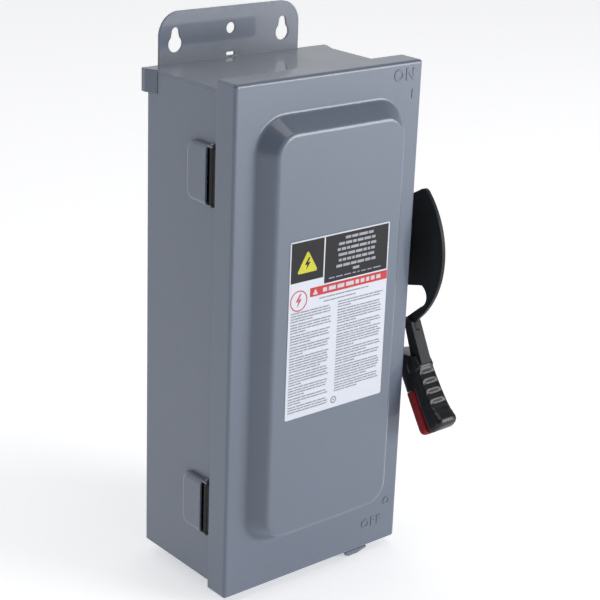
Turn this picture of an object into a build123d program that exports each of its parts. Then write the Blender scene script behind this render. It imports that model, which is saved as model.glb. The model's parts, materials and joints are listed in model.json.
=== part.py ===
from build123d import *
import os
from math import atan2, cos, degrees, radians, sin, tan

# A wall-hung safety switch: a sheet-steel box with a hinged cover, a lever on its right side and a
# three-pole knife switch with fuse clips inside. One STEP file is written for each piece.
# Millimetres. +X is to the right of a person facing the cover, -Y is towards them, +Z is up.
# The origin is the middle of the box's back face, where it lies on the wall.

# ---- driving dimensions -------------------------------------------------------------------------
SHEET = 1.6                 # box steel
COVER_SHEET = 1.5           # cover steel
FIT = 0.05                  # radial clearance of every pin and shaft
GAP = 0.05                  # gap between pieces of one body that are fastened face to face

BOX_HALF_W = 78.7
BOX_HALF_H = 183.5
BOX_FRONT = -104.7          # front edge of the box walls
LIP = 8.0                   # inward lip round the box's mouth
CORNER_R = 2.6              # outside radius of the box's folded corners

COVER_HALF_W = 83.5
COVER_BOTTOM, COVER_TOP = -186.5, 191.5
COVER_FACE = -107.25        # outside of the cover's flat border
COVER_RIM = 20.0            # depth of the cover's return flange
PANEL_HALF_W, PANEL_HALF_H = 66.3, 158.6    # raised panel, at its foot
PANEL_Z = 8.1               # height of the panel's middle
PANEL_RISE, PANEL_RUN = 14.0, 9.5
PANEL_CORNER = 25.5
LABEL_W, LABEL_H, LABEL_T = 91.0, 132.0, 0.3
LABEL_X, LABEL_Z = 1.0, 15.8

HINGE_X, HINGE_Y = -80.0, -79.5             # the cover's pin line
HINGE_HEIGHTS = (124.0, -124.0)
POCKET_HALF_H, POCKET_BULGE = 21.5, 5.3
POCKET_CORNER, POCKET_ROUND = 8.0, 4.2
POCKET_MOUTH, POCKET_END = -77.0, -53.3
KNUCKLE_R, HINGE_PIN_R = 2.2, 1.2

HANGER_TOP = 220.3          # top of the hanging bracket
HANGER_X = (-69.4, 55.8)
HANGER_CORNER = 17.0
KEYHOLE_X = (-55.6, 40.4)
KEYHOLE_Z, KEYHOLE_R, KEYHOLE_SLOT_R, KEYHOLE_RISE = 197.3, 6.0, 3.2, 8.6
HANGER_HOLE_X, HANGER_HOLE_Z, HANGER_HOLE_R = -7.0, 204.5, 4.0
LOWER_HOLE_X, LOWER_HOLE_Z, LOWER_HOLE_R = 48.4, -160.0, 3.6

PIVOT_Y, PIVOT_Z = -58.0, 43.0              # the lever's and the knife switch's common axis
LEVER_X = 97.0                              # middle plane of the lever
RIM_R, PLATE_T, NECK_T = 70.0, 3.0, 10.0
HUB_R, SHAFT_R, SHAFT_TAIL_R = 17.0, 6.0, 4.0
GRIP_TILT = 35.0                            # lean of the grip from upright, towards the front
GRIP_TOP, GRIP_END = 95.0, 153.0            # along the grip's own line, from the pivot
INSERT_TOP = 117.5          # where the red insert starts
GRIP_FRONT, GRIP_SPLIT, GRIP_REAR = -0.8, -13.9, -23.4
NECK_END, TANG_END = 101.7, 143.0
TANG_HALF_W, TANG_REAR = 3.0, -12.0
GRIP_TOP_HALF_W, GRIP_HALF_W = 8.2, 11.0

POLE_X = (-53.0, -15.0, 23.0)
BLADE_R, BLADE_W, BLADE_T = 44.0, 14.0, 3.0
BLADE_OPEN = 60.0           # swing from the closed blade, which points up
LEAF_GAP, LEAF_T = 0.3, 2.0                 # jaw leaves beside a blade
BASE_FACE, BASE_T = -46.0, 8.0              # front of the insulating bases
BAR_R, BAR_W, BAR_H = 24.0, 16.0, 12.0      # crossbar: radius of its middle, section
FUSE_R, FUSE_Y = 10.3, -64.0
CLIP_HEIGHTS = (-2.0, -113.0)

TOGGLE_REACH, TOGGLE_PIN_R, TOGGLE_ARM = 60.0, 2.0, 14.0
TOGGLE_ANCHOR_Z = PIVOT_Z - TOGGLE_REACH
TOGGLE_SIDE, TOGGLE_RISE = TOGGLE_ARM * sin(radians(60)), TOGGLE_REACH - TOGGLE_ARM * cos(radians(60))
TOGGLE_SWING = 2 * degrees(atan2(TOGGLE_SIDE, TOGGLE_RISE))


# ---- drawing helpers ----------------------------------------------------------------------------
def block(x, y, z):
    """A box from its low and high limits on each axis."""
    middle = Pos((x[0] + x[1]) / 2, (y[0] + y[1]) / 2, (z[0] + z[1]) / 2)
    return middle * Box(x[1] - x[0], y[1] - y[0], z[1] - z[0])


def rod_x(x, y, z, r):
    return Pos((x[0] + x[1]) / 2, y, z) * Rot(0, 90, 0) * Cylinder(r, x[1] - x[0])


def rod_y(x, y, z, r):
    return Pos(x, (y[0] + y[1]) / 2, z) * Rot(90, 0, 0) * Cylinder(r, y[1] - y[0])


def rod_z(x, y, z, r):
    return Pos(x, y, (z[0] + z[1]) / 2) * Cylinder(r, z[1] - z[0])


def side_plate(face, x):
    """A flat plate drawn in Y and Z, between two X planes."""
    return extrude(Plane.YZ.offset(x[0]) * face, x[1] - x[0])


def front_plate(face, y):
    """A flat plate drawn in X and Z, between two Y planes."""
    return extrude(Plane.XZ.offset(-y[1]) * face, y[1] - y[0])


def level_plate(face, z):
    """A flat plate drawn in X and Y, between two Z planes."""
    return extrude(Plane.XY.offset(z[0]) * face, z[1] - z[0])


def outline(*points):
    return make_face(Polyline(*points, close=True))


def polar(r, angle):
    """A point in Y and Z around the pivot, 0 degrees to the wall and 90 degrees up."""
    return PIVOT_Y + r * cos(radians(angle)), PIVOT_Z + r * sin(radians(angle))


def from_pivot(y, z):
    return PIVOT_Y + y, PIVOT_Z + z


def grip_point(along, front):
    """A point in Y and Z on the grip's own line: distance from the pivot, and towards its front."""
    down, out = cos(radians(GRIP_TILT)), sin(radians(GRIP_TILT))
    return PIVOT_Y - along * out - front * down, PIVOT_Z - along * down + front * out


def save(node, *solids):
    shape = solids[0] if len(solids) == 1 else Compound(list(solids))
    export_step(shape, f"parts/{node}.step")


# ---- the box ------------------------------------------------------------------------------------
def pocket_form(z, inset):
    """The bulge's solid form: square at its front, with rounded rear corners and a rounded rim."""
    half = POCKET_HALF_H - inset
    low = -BOX_HALF_W - POCKET_BULGE + inset
    form = block((low, -BOX_HALF_W + 10), (POCKET_MOUTH - 8, POCKET_END - inset), (z - half, z + half))
    form = fillet(form.edges().filter_by(Axis.X).group_by(Axis.Y)[-1], POCKET_CORNER - inset)
    rim = [e for e in form.edges() if abs(e.center().X - low) < 0.01 and e.center().Y > POCKET_MOUTH - 7]
    return fillet(rim, POCKET_ROUND - inset)


def hinge_pocket(z):
    """The bulge pressed out of the left wall over a hinge, open to the front."""
    shell = pocket_form(z, 0.0) - pocket_form(z, SHEET)
    half = POCKET_HALF_H - SHEET
    shell = shell - block((-100, -60), (POCKET_MOUTH - 9, POCKET_MOUTH - 5), (z - half, z + half))
    return shell & block((-100, -BOX_HALF_W + SHEET), (POCKET_MOUTH, 0), (z - 30, z + 30))


def enclosure_wrap():
    """Back and both side walls in one folded sheet, with lips at its mouth and hinge pockets."""
    height = (-BOX_HALF_H + SHEET + GAP, BOX_HALF_H - SHEET - GAP)
    wide = (-BOX_HALF_W, BOX_HALF_W)
    inside = (-BOX_HALF_W + SHEET, BOX_HALF_W - SHEET)
    outer = block(wide, (BOX_FRONT, 0), height)
    outer = fillet(outer.edges().filter_by(Axis.Z), CORNER_R)
    inner = block(inside, (BOX_FRONT + SHEET, -SHEET), (-200, 200))
    inner = fillet(inner.edges().filter_by(Axis.Z), CORNER_R - SHEET)
    mouth = block((-BOX_HALF_W + LIP, BOX_HALF_W - LIP), (-120, BOX_FRONT + 3), (-200, 200))
    wrap = outer - inner - mouth
    for z in HINGE_HEIGHTS:
        half = POCKET_HALF_H - SHEET
        window = block((-90, -BOX_HALF_W + SHEET + 1), (HINGE_Y - 5.0, POCKET_END - SHEET), (z - half, z + half))
        wrap = wrap - window + hinge_pocket(z)
        for end in (z - half - SHEET, z + half):
            ear = block((HINGE_X - 2.5, -BOX_HALF_W + SHEET), (HINGE_Y - 2.6, POCKET_MOUTH + 1), (end, end + SHEET))
            wrap = wrap + ear
        wrap = wrap - rod_z(HINGE_X, HINGE_Y, (z - 30, z + 30), HINGE_PIN_R + 0.01)
    for x in (-LOWER_HOLE_X, LOWER_HOLE_X):
        wrap = wrap - rod_y(x, (-5, 5), LOWER_HOLE_Z, LOWER_HOLE_R)
    return wrap - rod_x((70, 90), PIVOT_Y, PIVOT_Z, 10.0 + GAP)


def end_wall_sheet(z, side):
    """A top (side 1) or bottom (side -1) wall, with flanges folded into the box."""
    flange = 12.0
    plate = block((-BOX_HALF_W, BOX_HALF_W), (BOX_FRONT, 0), sorted((z, z - side * SHEET)))
    plate = fillet(plate.edges().filter_by(Axis.Z), CORNER_R)
    inner = z - side * SHEET
    tongue = sorted((inner, inner - side * flange))
    edge = BOX_HALF_W - SHEET - GAP
    for x in ((-edge, -edge + SHEET), (edge - SHEET, edge)):
        plate = plate + block(x, (BOX_FRONT + 4, -4), tongue)
    plate = plate + block((-edge + 4, edge - 4), (-2 * SHEET - GAP, -SHEET - GAP), tongue)
    lip_edge = BOX_HALF_W - LIP - 0.3
    plate = plate + block((-lip_edge, lip_edge), (BOX_FRONT, BOX_FRONT + SHEET), tongue)
    return plate


def corner_ear(side):
    """The small folded ear that wraps the box's top rear corner."""
    root, out = BOX_HALF_W + GAP, BOX_HALF_W + 4.3
    low, high = BOX_HALF_H - 16.4, BOX_HALF_H
    shape = outline((root, -14), (out - 0.9, -6), (out, -4), (out, 0), (root, 0))
    hollow = outline((root, -11.6), (out - SHEET - 0.9, -5.2), (out - SHEET, -3.6), (out - SHEET, 0), (root, 0))
    ear = level_plate(shape, (low, high)) - level_plate(hollow, (low - 1, high - SHEET))
    return ear if side > 0 else mirror(ear, Plane.YZ)


def top_end_wall():
    """The top wall, folded up at the back into the hanging bracket."""
    wall = end_wall_sheet(BOX_HALF_H, 1)
    left, right = HANGER_X
    tab = block((left, right), (-SHEET, 0), (BOX_HALF_H - SHEET, HANGER_TOP))
    tab = fillet(tab.edges().filter_by(Axis.Y).group_by(Axis.Z)[-1], HANGER_CORNER)
    wall = wall + tab
    for x in KEYHOLE_X:
        wall = wall - rod_y(x, (-5, 5), KEYHOLE_Z, KEYHOLE_R)
        slot = outline((x - 4.2, KEYHOLE_Z + 3.5), (x - KEYHOLE_SLOT_R, KEYHOLE_Z + KEYHOLE_RISE),
                       (x + KEYHOLE_SLOT_R, KEYHOLE_Z + KEYHOLE_RISE), (x + 4.2, KEYHOLE_Z + 3.5))
        wall = wall - front_plate(slot, (-5, 5)) - rod_y(x, (-5, 5), KEYHOLE_Z + KEYHOLE_RISE, KEYHOLE_SLOT_R)
    wall = wall - rod_y(HANGER_HOLE_X, (-5, 5), HANGER_HOLE_Z, HANGER_HOLE_R)
    wall = wall - block((HANGER_HOLE_X - 3.7, HANGER_HOLE_X + 3.7), (-5, 5), (BOX_HALF_H + 1.2, BOX_HALF_H + 3.8))
    for side in (-1, 1):
        ear = corner_ear(side)
        bridge = block(sorted((side * (BOX_HALF_W - 1), side * (BOX_HALF_W + 1))), (-9, 0),
                       (BOX_HALF_H - SHEET, BOX_HALF_H))
        wall = wall + ear + bridge
    return wall


KNOCKOUTS = ((-32.0, -56.0, 14.2), (14.0, -47.0, 17.4), (-60.0, -28.0, 11.1))


def bottom_end_wall():
    wall = end_wall_sheet(-BOX_HALF_H, -1)
    for x, y, r in KNOCKOUTS:
        wall = wall - rod_z(x, y, (-200, -170), r)
    return wall


def bottom_knockouts():
    """Punched slugs, each held in its hole by its own snug edge, with a pry slot."""
    slugs = []
    for x, y, r in KNOCKOUTS:
        slug = rod_z(x, y, (-BOX_HALF_H, -BOX_HALF_H + SHEET), r - GAP)
        slug = slug - block((x - 2.5, x + 2.5), (y - 0.7, y + 0.7), (-BOX_HALF_H - 1, -BOX_HALF_H + 0.6))
        slugs.append(slug)
    return slugs


def hinge_pins():
    reach = POCKET_HALF_H + 0.6
    return [rod_z(HINGE_X, HINGE_Y, (z - reach, z + reach), HINGE_PIN_R) for z in HINGE_HEIGHTS]


# ---- the cover ----------------------------------------------------------------------------------
def raised_panel(grow, back, front, foot, crest):
    """A tapered, rounded block: the panel's outer skin, or the hollow behind it."""
    lean = degrees(atan2(PANEL_RUN, PANEL_RISE))
    half_w, half_h = PANEL_HALF_W + grow, PANEL_HALF_H + grow
    face = RectangleRounded(2 * half_w, 2 * half_h, PANEL_CORNER + grow)
    solid = extrude(Plane.XZ.offset(-back) * Pos(0, PANEL_Z) * face, back - front, taper=lean)
    solid = fillet(solid.edges().group_by(Axis.Y)[0], crest)
    return solid


def cover_pan():
    """The pressed cover: flat border, return flange all round and a raised panel."""
    def pan(inset, front):
        body = block((-COVER_HALF_W + inset, COVER_HALF_W - inset), (front, COVER_FACE + COVER_RIM),
                     (COVER_BOTTOM + inset, COVER_TOP - inset))
        rounding = 2.4 - 0.6 * inset
        body = fillet(body.edges().filter_by(Axis.Y), rounding)
        return fillet(body.edges().group_by(Axis.Y)[0], rounding)
    inner_face = COVER_FACE + COVER_SHEET
    lean = atan2(PANEL_RUN, PANEL_RISE)
    shrink = COVER_SHEET / cos(lean) - COVER_SHEET * tan(lean)
    outer = pan(0.0, COVER_FACE) + raised_panel(0.0, COVER_FACE, COVER_FACE - PANEL_RISE, 3.0, 4.5)
    foot = [e for e in outer.edges() if abs(e.center().Y - COVER_FACE) < 0.01
            and abs(e.center().X) < COVER_HALF_W - 5 and COVER_BOTTOM + 8 < e.center().Z < COVER_TOP - 8]
    outer = fillet(foot, 3.0)
    hollow_depth = COVER_FACE - PANEL_RISE + COVER_SHEET
    hollow = raised_panel(-shrink, inner_face, hollow_depth, 3.0, 3.0)
    deep = pan(COVER_SHEET, inner_face) + block((-COVER_HALF_W + COVER_SHEET, COVER_HALF_W - COVER_SHEET),
                                                (COVER_FACE + COVER_RIM - 4, COVER_FACE + COVER_RIM + 2),
                                                (COVER_BOTTOM + COVER_SHEET, COVER_TOP - COVER_SHEET))
    cover = outer - deep - hollow
    slot_x = (LATCH_MIDDLE - 6, LATCH_MIDDLE + 6)
    latch_slot = block(slot_x, (-98.5, -92.5), (COVER_BOTTOM - 1, COVER_BOTTOM + 3))
    return cover - latch_slot


def hinge_leaf(z):
    """A strap welded inside the cover's flange, curled round the hinge pin."""
    half = POCKET_HALF_H - SHEET - 0.3
    knuckle = rod_z(HINGE_X, HINGE_Y, (z - half, z + half), KNUCKLE_R)
    bore = rod_z(HINGE_X, HINGE_Y, (z - 30, z + 30), HINGE_PIN_R + FIT)
    flange_x = -COVER_HALF_W + COVER_SHEET + GAP
    radial = block((HINGE_X - 0.75, HINGE_X + 0.75), (-88.0, HINGE_Y), (z - half, z + half))
    strap = block((flange_x, flange_x + 1.5), (-104.0, -87.4), (z - half, z + half))
    return knuckle + radial + strap - bore


def label_plate():
    y = COVER_FACE - PANEL_RISE
    plate = block((LABEL_X - LABEL_W / 2, LABEL_X + LABEL_W / 2), (y - LABEL_T - 0.02, y - 0.02),
                  (LABEL_Z - LABEL_H / 2, LABEL_Z + LABEL_H / 2))
    return fillet(plate.edges().filter_by(Axis.Y), 1.2)


CATCH_X, CATCH_Z = (58.5, 69.5), 98.0


def cover_catch():
    """The bracket behind the cover that the interlock's nose holds while the switch is on."""
    face = COVER_FACE + COVER_SHEET + GAP
    foot = block(CATCH_X, (face, face + 1.5), (CATCH_Z, CATCH_Z + 16))
    arm = block(CATCH_X, (face, -90.0), (CATCH_Z, CATCH_Z + 2))
    tooth = block(CATCH_X, (-92.0, -90.0), (CATCH_Z - 6, CATCH_Z + 2))
    return foot + arm + tooth


# ---- the cover latch ----------------------------------------------------------------------------
LATCH_X = (37.0, 58.0)
LATCH_MIDDLE = (LATCH_X[0] + LATCH_X[1]) / 2
LATCH_PIVOT_Y, LATCH_PIVOT_Z = -78.0, -189.0
LATCH_DROP = 4.5            # from latched to free
LATCH_TOOTH = 1.1           # height of the tooth above the arm


def latch_bracket():
    """Two ears under the bottom wall that carry the latch pin."""
    left, right = LATCH_X[0] - 3.5, LATCH_X[1] + 3.5
    foot = block((left, right), (-84, -68), (-BOX_HALF_H - SHEET - GAP, -BOX_HALF_H - GAP))
    for x in ((left, left + SHEET), (right - SHEET, right)):
        ear = block(x, (-81.5, -74.5), (LATCH_PIVOT_Z - 3.0, -BOX_HALF_H - 1))
        foot = foot + ear
    return foot - rod_x((left - 1, right + 1), LATCH_PIVOT_Y, LATCH_PIVOT_Z, 1.51)


def latch_pin():
    return rod_x((LATCH_X[0] - 4.1, LATCH_X[1] + 4.1), LATCH_PIVOT_Y, LATCH_PIVOT_Z, 1.5)


def latch_rivets():
    rivets = []
    for x in (LATCH_MIDDLE - 7.0, LATCH_MIDDLE + 7.0):
        head = rod_z(x, -71.0, (-BOX_HALF_H - 3.0, -BOX_HALF_H - 1.6 - 2 * GAP), 2.6)
        rivets.append(fillet(head.edges().group_by(Axis.Z)[0], 0.8))
    return rivets


def cover_latch():
    """A pivoting hasp under the cover's bottom flange, with a tooth and a thumb lip.

    It is drawn latched, with its tooth up in the flange's slot, and then let down to its free position."""
    top = COVER_BOTTOM - 0.3
    left, right = LATCH_X
    arm = block((left, right), (-103.5, -80.5), (top - 1.5, top))
    tail = block((left, right), (-82.0, LATCH_PIVOT_Y), (LATCH_PIVOT_Z - 0.75, LATCH_PIVOT_Z + 0.75))
    curl = rod_x((left, right), LATCH_PIVOT_Y, LATCH_PIVOT_Z, 2.3)
    web = block((left, right), (-82.0, -80.5), (LATCH_PIVOT_Z - 0.75, top))
    lip = outline((left, top), (left, top - 2.2), (left + 3, top - 3.9), (left + 12, top - 3.9), (right, top - 1.5),
                  (right, top))
    lip = front_plate(lip, (-103.5, -102.0))
    tooth = block((LATCH_MIDDLE - 4, LATCH_MIDDLE + 4), (-96.8, -94.6), (top - 1.0, top + LATCH_TOOTH))
    latch = arm + tail + curl + web + lip + tooth
    latch = latch - rod_x((left - 1, right + 1), LATCH_PIVOT_Y, LATCH_PIVOT_Z, 1.5 + FIT)
    return latch.rotate(Axis((0, LATCH_PIVOT_Y, LATCH_PIVOT_Z), (1, 0, 0)), LATCH_DROP)


# ---- the lever on the right side ----------------------------------------------------------------
BEARING_T = 2.0
LOCK_R, LOCK_ANGLE, LOCK_HOLE_R = 34.0, 152.0, 4.2


def bearing_plate():
    """The plate riveted outside the right wall, with an ear for a padlock."""
    x0 = BOX_HALF_W + GAP
    plate = side_plate(Pos(PIVOT_Y, PIVOT_Z) * RectangleRounded(50, 58, 8), (x0, x0 + BEARING_T))
    lock_y, lock_z = polar(LOCK_R, LOCK_ANGLE)
    web = block((x0, 93.4), (-78.0, -76.0), (lock_z - 9, lock_z + 2.5))
    ear = side_plate(Pos(lock_y + 3.5, lock_z) * RectangleRounded(23, 20, 4), (91.4, 93.4))
    plate = plate + web + ear
    plate = plate - rod_x((85, 95), lock_y, lock_z, LOCK_HOLE_R)
    return plate - rod_x((70, 90), PIVOT_Y, PIVOT_Z, 10.0 + GAP)


def bearing_rivets():
    rivets = []
    for y in (-18.0, 18.0):
        for z in (-23.0, 23.0):
            x0 = BOX_HALF_W + BEARING_T + 2 * GAP
            head = rod_x((x0, x0 + 1.3), PIVOT_Y + y, PIVOT_Z + z, 3.0)
            rivets.append(fillet(head.edges().group_by(Axis.X)[-1], 0.8))
    return rivets


def shaft_bushing():
    x0, x1 = BOX_HALF_W - SHEET - 1.2, BOX_HALF_W + BEARING_T + 0.4
    bush = rod_x((x0, x1), PIVOT_Y, PIVOT_Z, 10.0)
    bush = bush + rod_x((x0 - 1.2, BOX_HALF_W - SHEET - 0.1), PIVOT_Y, PIVOT_Z, 13.0)
    return bush - rod_x((60, 90), PIVOT_Y, PIVOT_Z, SHAFT_R + FIT)


def guard_outline():
    """The crescent guard from its side, with its horn and the tail that sits in the neck's fork."""
    corner, horn = polar(RIM_R, 132), polar(RIM_R, 226)
    edge = ThreePointArc(corner, polar(RIM_R, 178), horn)
    tail = Polyline(horn, from_pivot(-45.8, -54.6), from_pivot(-48.0, -59.0), from_pivot(-42.8, -61.4),
                    from_pivot(-37.5, -51.5), from_pivot(-50.8, -40.0))
    notch = ThreePointArc(from_pivot(-50.8, -40.0), from_pivot(-55.8, -30.5), from_pivot(-50.0, -23.2))
    under = Line(from_pivot(-50.0, -23.2), from_pivot(-8.0, -34.3))
    heel = ThreePointArc(from_pivot(-8.0, -34.3), from_pivot(15.0, -16.5), from_pivot(20.0, 0.0))
    hub = ThreePointArc(from_pivot(20.0, 0.0), from_pivot(17.3, 10.0), from_pivot(10.2, 17.5))
    back = Line(from_pivot(10.2, 17.5), corner)
    return make_face([edge, tail, notch, under, heel, hub, back])


def lever_guard():
    """The flat crescent on its hub, with a hole for a padlock."""
    plate = side_plate(guard_outline(), (LEVER_X - PLATE_T / 2, LEVER_X + PLATE_T / 2))
    corner = plate.edges().filter_by(Axis.X).sort_by(Axis.Z)[-1]
    plate = fillet(corner, 5.0)
    hub_x = (BOX_HALF_W + BEARING_T + 0.8, LEVER_X + 4.0)
    plate = plate + rod_x(hub_x, PIVOT_Y, PIVOT_Z, HUB_R)
    lock_y, lock_z = polar(LOCK_R, LOCK_ANGLE)
    return plate - rod_x((90, 100), lock_y, lock_z, LOCK_HOLE_R) - rod_x((50, 110), PIVOT_Y, PIVOT_Z, SHAFT_R + 0.01)


def lever_neck():
    """The thick bar under the guard: forked round its tail, and with a tang down inside the grip."""
    bar = outline(from_pivot(-45.0, -53.6), grip_point(NECK_END, 1.4), grip_point(NECK_END, -8.0),
                  grip_point(NECK_END - 6, -8.0), from_pivot(-36.4, -52.2))
    tang = outline(grip_point(NECK_END - 1, -4.5), grip_point(NECK_END - 1, TANG_REAR),
                   grip_point(TANG_END, TANG_REAR), grip_point(TANG_END, -5.5))
    neck = side_plate(bar, (LEVER_X - NECK_T / 2, LEVER_X + NECK_T / 2))
    neck = neck + side_plate(tang, (LEVER_X - TANG_HALF_W, LEVER_X + TANG_HALF_W))
    half = PLATE_T / 2 + GAP
    fork = outline(from_pivot(-60, -40), from_pivot(-60, -56.0), from_pivot(-42.7, -61.5), from_pivot(-30, -40))
    return neck - side_plate(fork, (LEVER_X - half, LEVER_X + half))


def grip_direction():
    return 0, -sin(radians(GRIP_TILT)), -cos(radians(GRIP_TILT))


def grip_flare(inset):
    """The grip's width: a wedge that widens towards its lower end."""
    return loft([Plane(origin=(LEVER_X, *grip_point(along, -12)), x_dir=(1, 0, 0), z_dir=grip_direction())
                 * Rectangle(2 * (half - inset), 80)
                 for along, half in ((GRIP_TOP - 14, GRIP_TOP_HALF_W), (GRIP_END + 2, GRIP_HALF_W))])


def grip_slab(inset, *points):
    """A side outline, given along and towards the front of the grip, cut to the grip's width."""
    face = outline(*[grip_point(along, front) for along, front in points])
    return side_plate(face, (LEVER_X - 15, LEVER_X + 15)) & grip_flare(inset)


def neck_pocket(clear):
    """The room inside the grip for the neck and its tang."""
    mouth = outline(grip_point(GRIP_TOP - 20, 9), grip_point(GRIP_TOP - 20, -8.0 - clear),
                    grip_point(NECK_END + clear, -8.0 - clear), grip_point(NECK_END + clear, 9))
    tang = outline(grip_point(NECK_END - 1, -4.3), grip_point(NECK_END - 1, TANG_REAR - clear),
                   grip_point(TANG_END + clear, TANG_REAR - clear), grip_point(TANG_END + clear, -5.3))
    room = side_plate(mouth, (LEVER_X - NECK_T / 2 - clear, LEVER_X + NECK_T / 2 + clear))
    return room + side_plate(tang, (LEVER_X - TANG_HALF_W - clear, LEVER_X + TANG_HALF_W + clear))


def grip_front():
    """The black moulding: full depth at its top, the front half lower down, with finger grooves."""
    grip = grip_slab(0.0, (GRIP_TOP, GRIP_FRONT), (GRIP_END - 7, GRIP_FRONT + 1.6), (GRIP_END - 2, GRIP_FRONT - 0.6),
                     (GRIP_END, GRIP_FRONT - 4.0), (GRIP_END, GRIP_SPLIT), (INSERT_TOP, GRIP_SPLIT),
                     (INSERT_TOP - 1.5, GRIP_REAR), (GRIP_TOP - 12, GRIP_REAR + 1.4))
    for step in range(4):
        along = GRIP_TOP + 14.0 + 8.0 * step
        grip = grip - Pos(LEVER_X, *grip_point(along, GRIP_FRONT + 2.2)) * Rot(0, 90, 0) * Cylinder(3.8, 40)
    return grip - neck_pocket(GAP)


def grip_rear():
    """The red insert at the back of the grip's lower half."""
    return grip_slab(0.4, (INSERT_TOP + GAP, GRIP_SPLIT - GAP), (GRIP_END, GRIP_SPLIT - GAP),
                     (GRIP_END, GRIP_REAR + 4.0), (GRIP_END - 4, GRIP_REAR), (INSERT_TOP - 1.5 + GAP, GRIP_REAR))


def grip_screws():
    """Two screws from the back of the grip into the tang."""
    screws = []
    for along in (INSERT_TOP + 8.0, INSERT_TOP + 26.0):
        spot = Plane(origin=(LEVER_X, *grip_point(along, GRIP_REAR - 0.4)), x_dir=(1, 0, 0),
                     z_dir=(0, cos(radians(GRIP_TILT)), -sin(radians(GRIP_TILT))))
        head = extrude(spot * Circle(3.2), 1.4)
        head = fillet(head.edges().sort_by(Axis.Y)[-1], 0.6)
        head = head - extrude(spot.offset(0.9) * Rectangle(0.9, 8), 1)
        screws.append(head)
    return screws


SHAFT_END, SHAFT_STEP = 57.0, 74.0


def handle_shaft():
    shaft = rod_x((SHAFT_STEP, LEVER_X + 4.0), PIVOT_Y, PIVOT_Z, SHAFT_R)
    shaft = shaft + rod_x((SHAFT_END, SHAFT_STEP + 1), PIVOT_Y, PIVOT_Z, SHAFT_TAIL_R)
    return shaft - rod_x((LEVER_X - 12, 110), PIVOT_Y, PIVOT_Z, 2.5)


def hub_screw():
    x0 = LEVER_X + 4.0 + GAP
    washer = rod_x((x0, x0 + 1.2), PIVOT_Y, PIVOT_Z, 9.0)
    head = side_plate(Pos(PIVOT_Y, PIVOT_Z) * RegularPolygon(6.5, 6), (x0 + 1.2, x0 + 5.6))
    head = head & (rod_x((x0, x0 + 5.6), PIVOT_Y, PIVOT_Z, 6.2))
    stem = rod_x((LEVER_X - 11.5, x0 + 1.2), PIVOT_Y, PIVOT_Z, 2.45)
    return washer + head + stem


DRIVE_PIN_R, DRIVE_ARM = 3.0, 16.0
CRANK_X = (64.0, 67.5)


def drive_crank():
    """The crank on the shaft's inner end: a drive pin for the crossbar and one for the spring."""
    crank = rod_x(CRANK_X, PIVOT_Y, PIVOT_Z, 11.0)
    drive_y, drive_z = polar(DRIVE_ARM, 150)
    spring_y, spring_z = polar(TOGGLE_ARM, 330)
    crank = crank + rod_x(CRANK_X, drive_y, drive_z, 6.0)
    crank = crank + rod_x((57.0, CRANK_X[0] + 0.5), drive_y, drive_z, DRIVE_PIN_R)
    crank = crank + rod_x(CRANK_X, spring_y, spring_z, 4.5)
    crank = crank + rod_x((CRANK_X[1] - 0.5, 73.0), spring_y, spring_z, TOGGLE_PIN_R)
    return crank - rod_x((50, 80), PIVOT_Y, PIVOT_Z, SHAFT_TAIL_R + 0.01)


def toggle_guide():
    """The forked rod that steers the over-centre spring, hung on a pin under the shaft."""
    y, z = PIVOT_Y, TOGGLE_ANCHOR_Z
    eye = rod_x((68.6, 72.4), y, z, 5.5)
    rod = block((69.0, 72.0), (y - 2.6, y + 2.6), (z, z + 42))
    fork = block((69.0, 72.0), (y - 6.6, y + 6.6), (z + 41, z + 55.3))
    slot = block((60, 80), (y - 3.9, y + 3.9), (z + 43.6, z + 66))
    guide = eye + rod + fork - slot - rod_x((60, 80), y, z, 3.0 + FIT)
    return guide.rotate(Axis((0, y, z), (1, 0, 0)), -TOGGLE_SWING / 2)


def toggle_spring():
    """The spring wound round the guide, between its eye and its fork."""
    y, z = PIVOT_Y, TOGGLE_ANCHOR_Z
    turns, start, end = 9, 7.0, 39.5
    coil_r, wire_r = 4.9, 0.8
    path = Helix(pitch=(end - start) / turns, height=end - start, radius=coil_r)
    wire = sweep(Plane(path @ 0, z_dir=path % 0) * Circle(wire_r), path=path)
    spring = Pos(70.5, y, z + start) * wire
    return spring.rotate(Axis((0, y, z), (1, 0, 0)), -TOGGLE_SWING / 2)


def mechanism_frame():
    """The plate beside the poles that carries the crossbar's journal and the spring's anchor pin."""
    x = (50.0, 52.0)
    face = outline((-86, 70), (-86, 20), (-70, -30), (-2 * SHEET, -30), (-2 * SHEET, 70))
    plate = side_plate(face, x)
    foot = block((50.0, 66.0), (-2 * SHEET, -SHEET - GAP), (-30, 70))
    frame = plate + foot + rod_x((51.0, 74.0), PIVOT_Y, TOGGLE_ANCHOR_Z, 3.0)
    for z in (-18.0, 58.0):
        frame = frame - rod_y(60.0, (-10, 0), z, 2.5)
    return frame - rod_x((45, 55), PIVOT_Y, PIVOT_Z, 7.0 + FIT)


def mechanism_screws():
    screws = []
    for z in (-18.0, 58.0):
        head = rod_y(60.0, (-2 * SHEET - 2.6, -2 * SHEET - GAP), z, 4.2)
        screws.append(fillet(head.edges().group_by(Axis.Y)[0], 1.0) + rod_y(60.0, (-3.3, -SHEET - GAP), z, 2.4))
    return screws


INTERLOCK_Y, INTERLOCK_Z = -70.0, 80.0
INTERLOCK_SWING = 15.0


def interlock_post():
    """The stud on the right wall that the interlock lever turns on."""
    stud = rod_x((64.0, BOX_HALF_W - SHEET - GAP), INTERLOCK_Y, INTERLOCK_Z, 3.0)
    return stud + rod_x((74.5, BOX_HALF_W - SHEET - GAP), INTERLOCK_Y, INTERLOCK_Z, 6.0)


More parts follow.
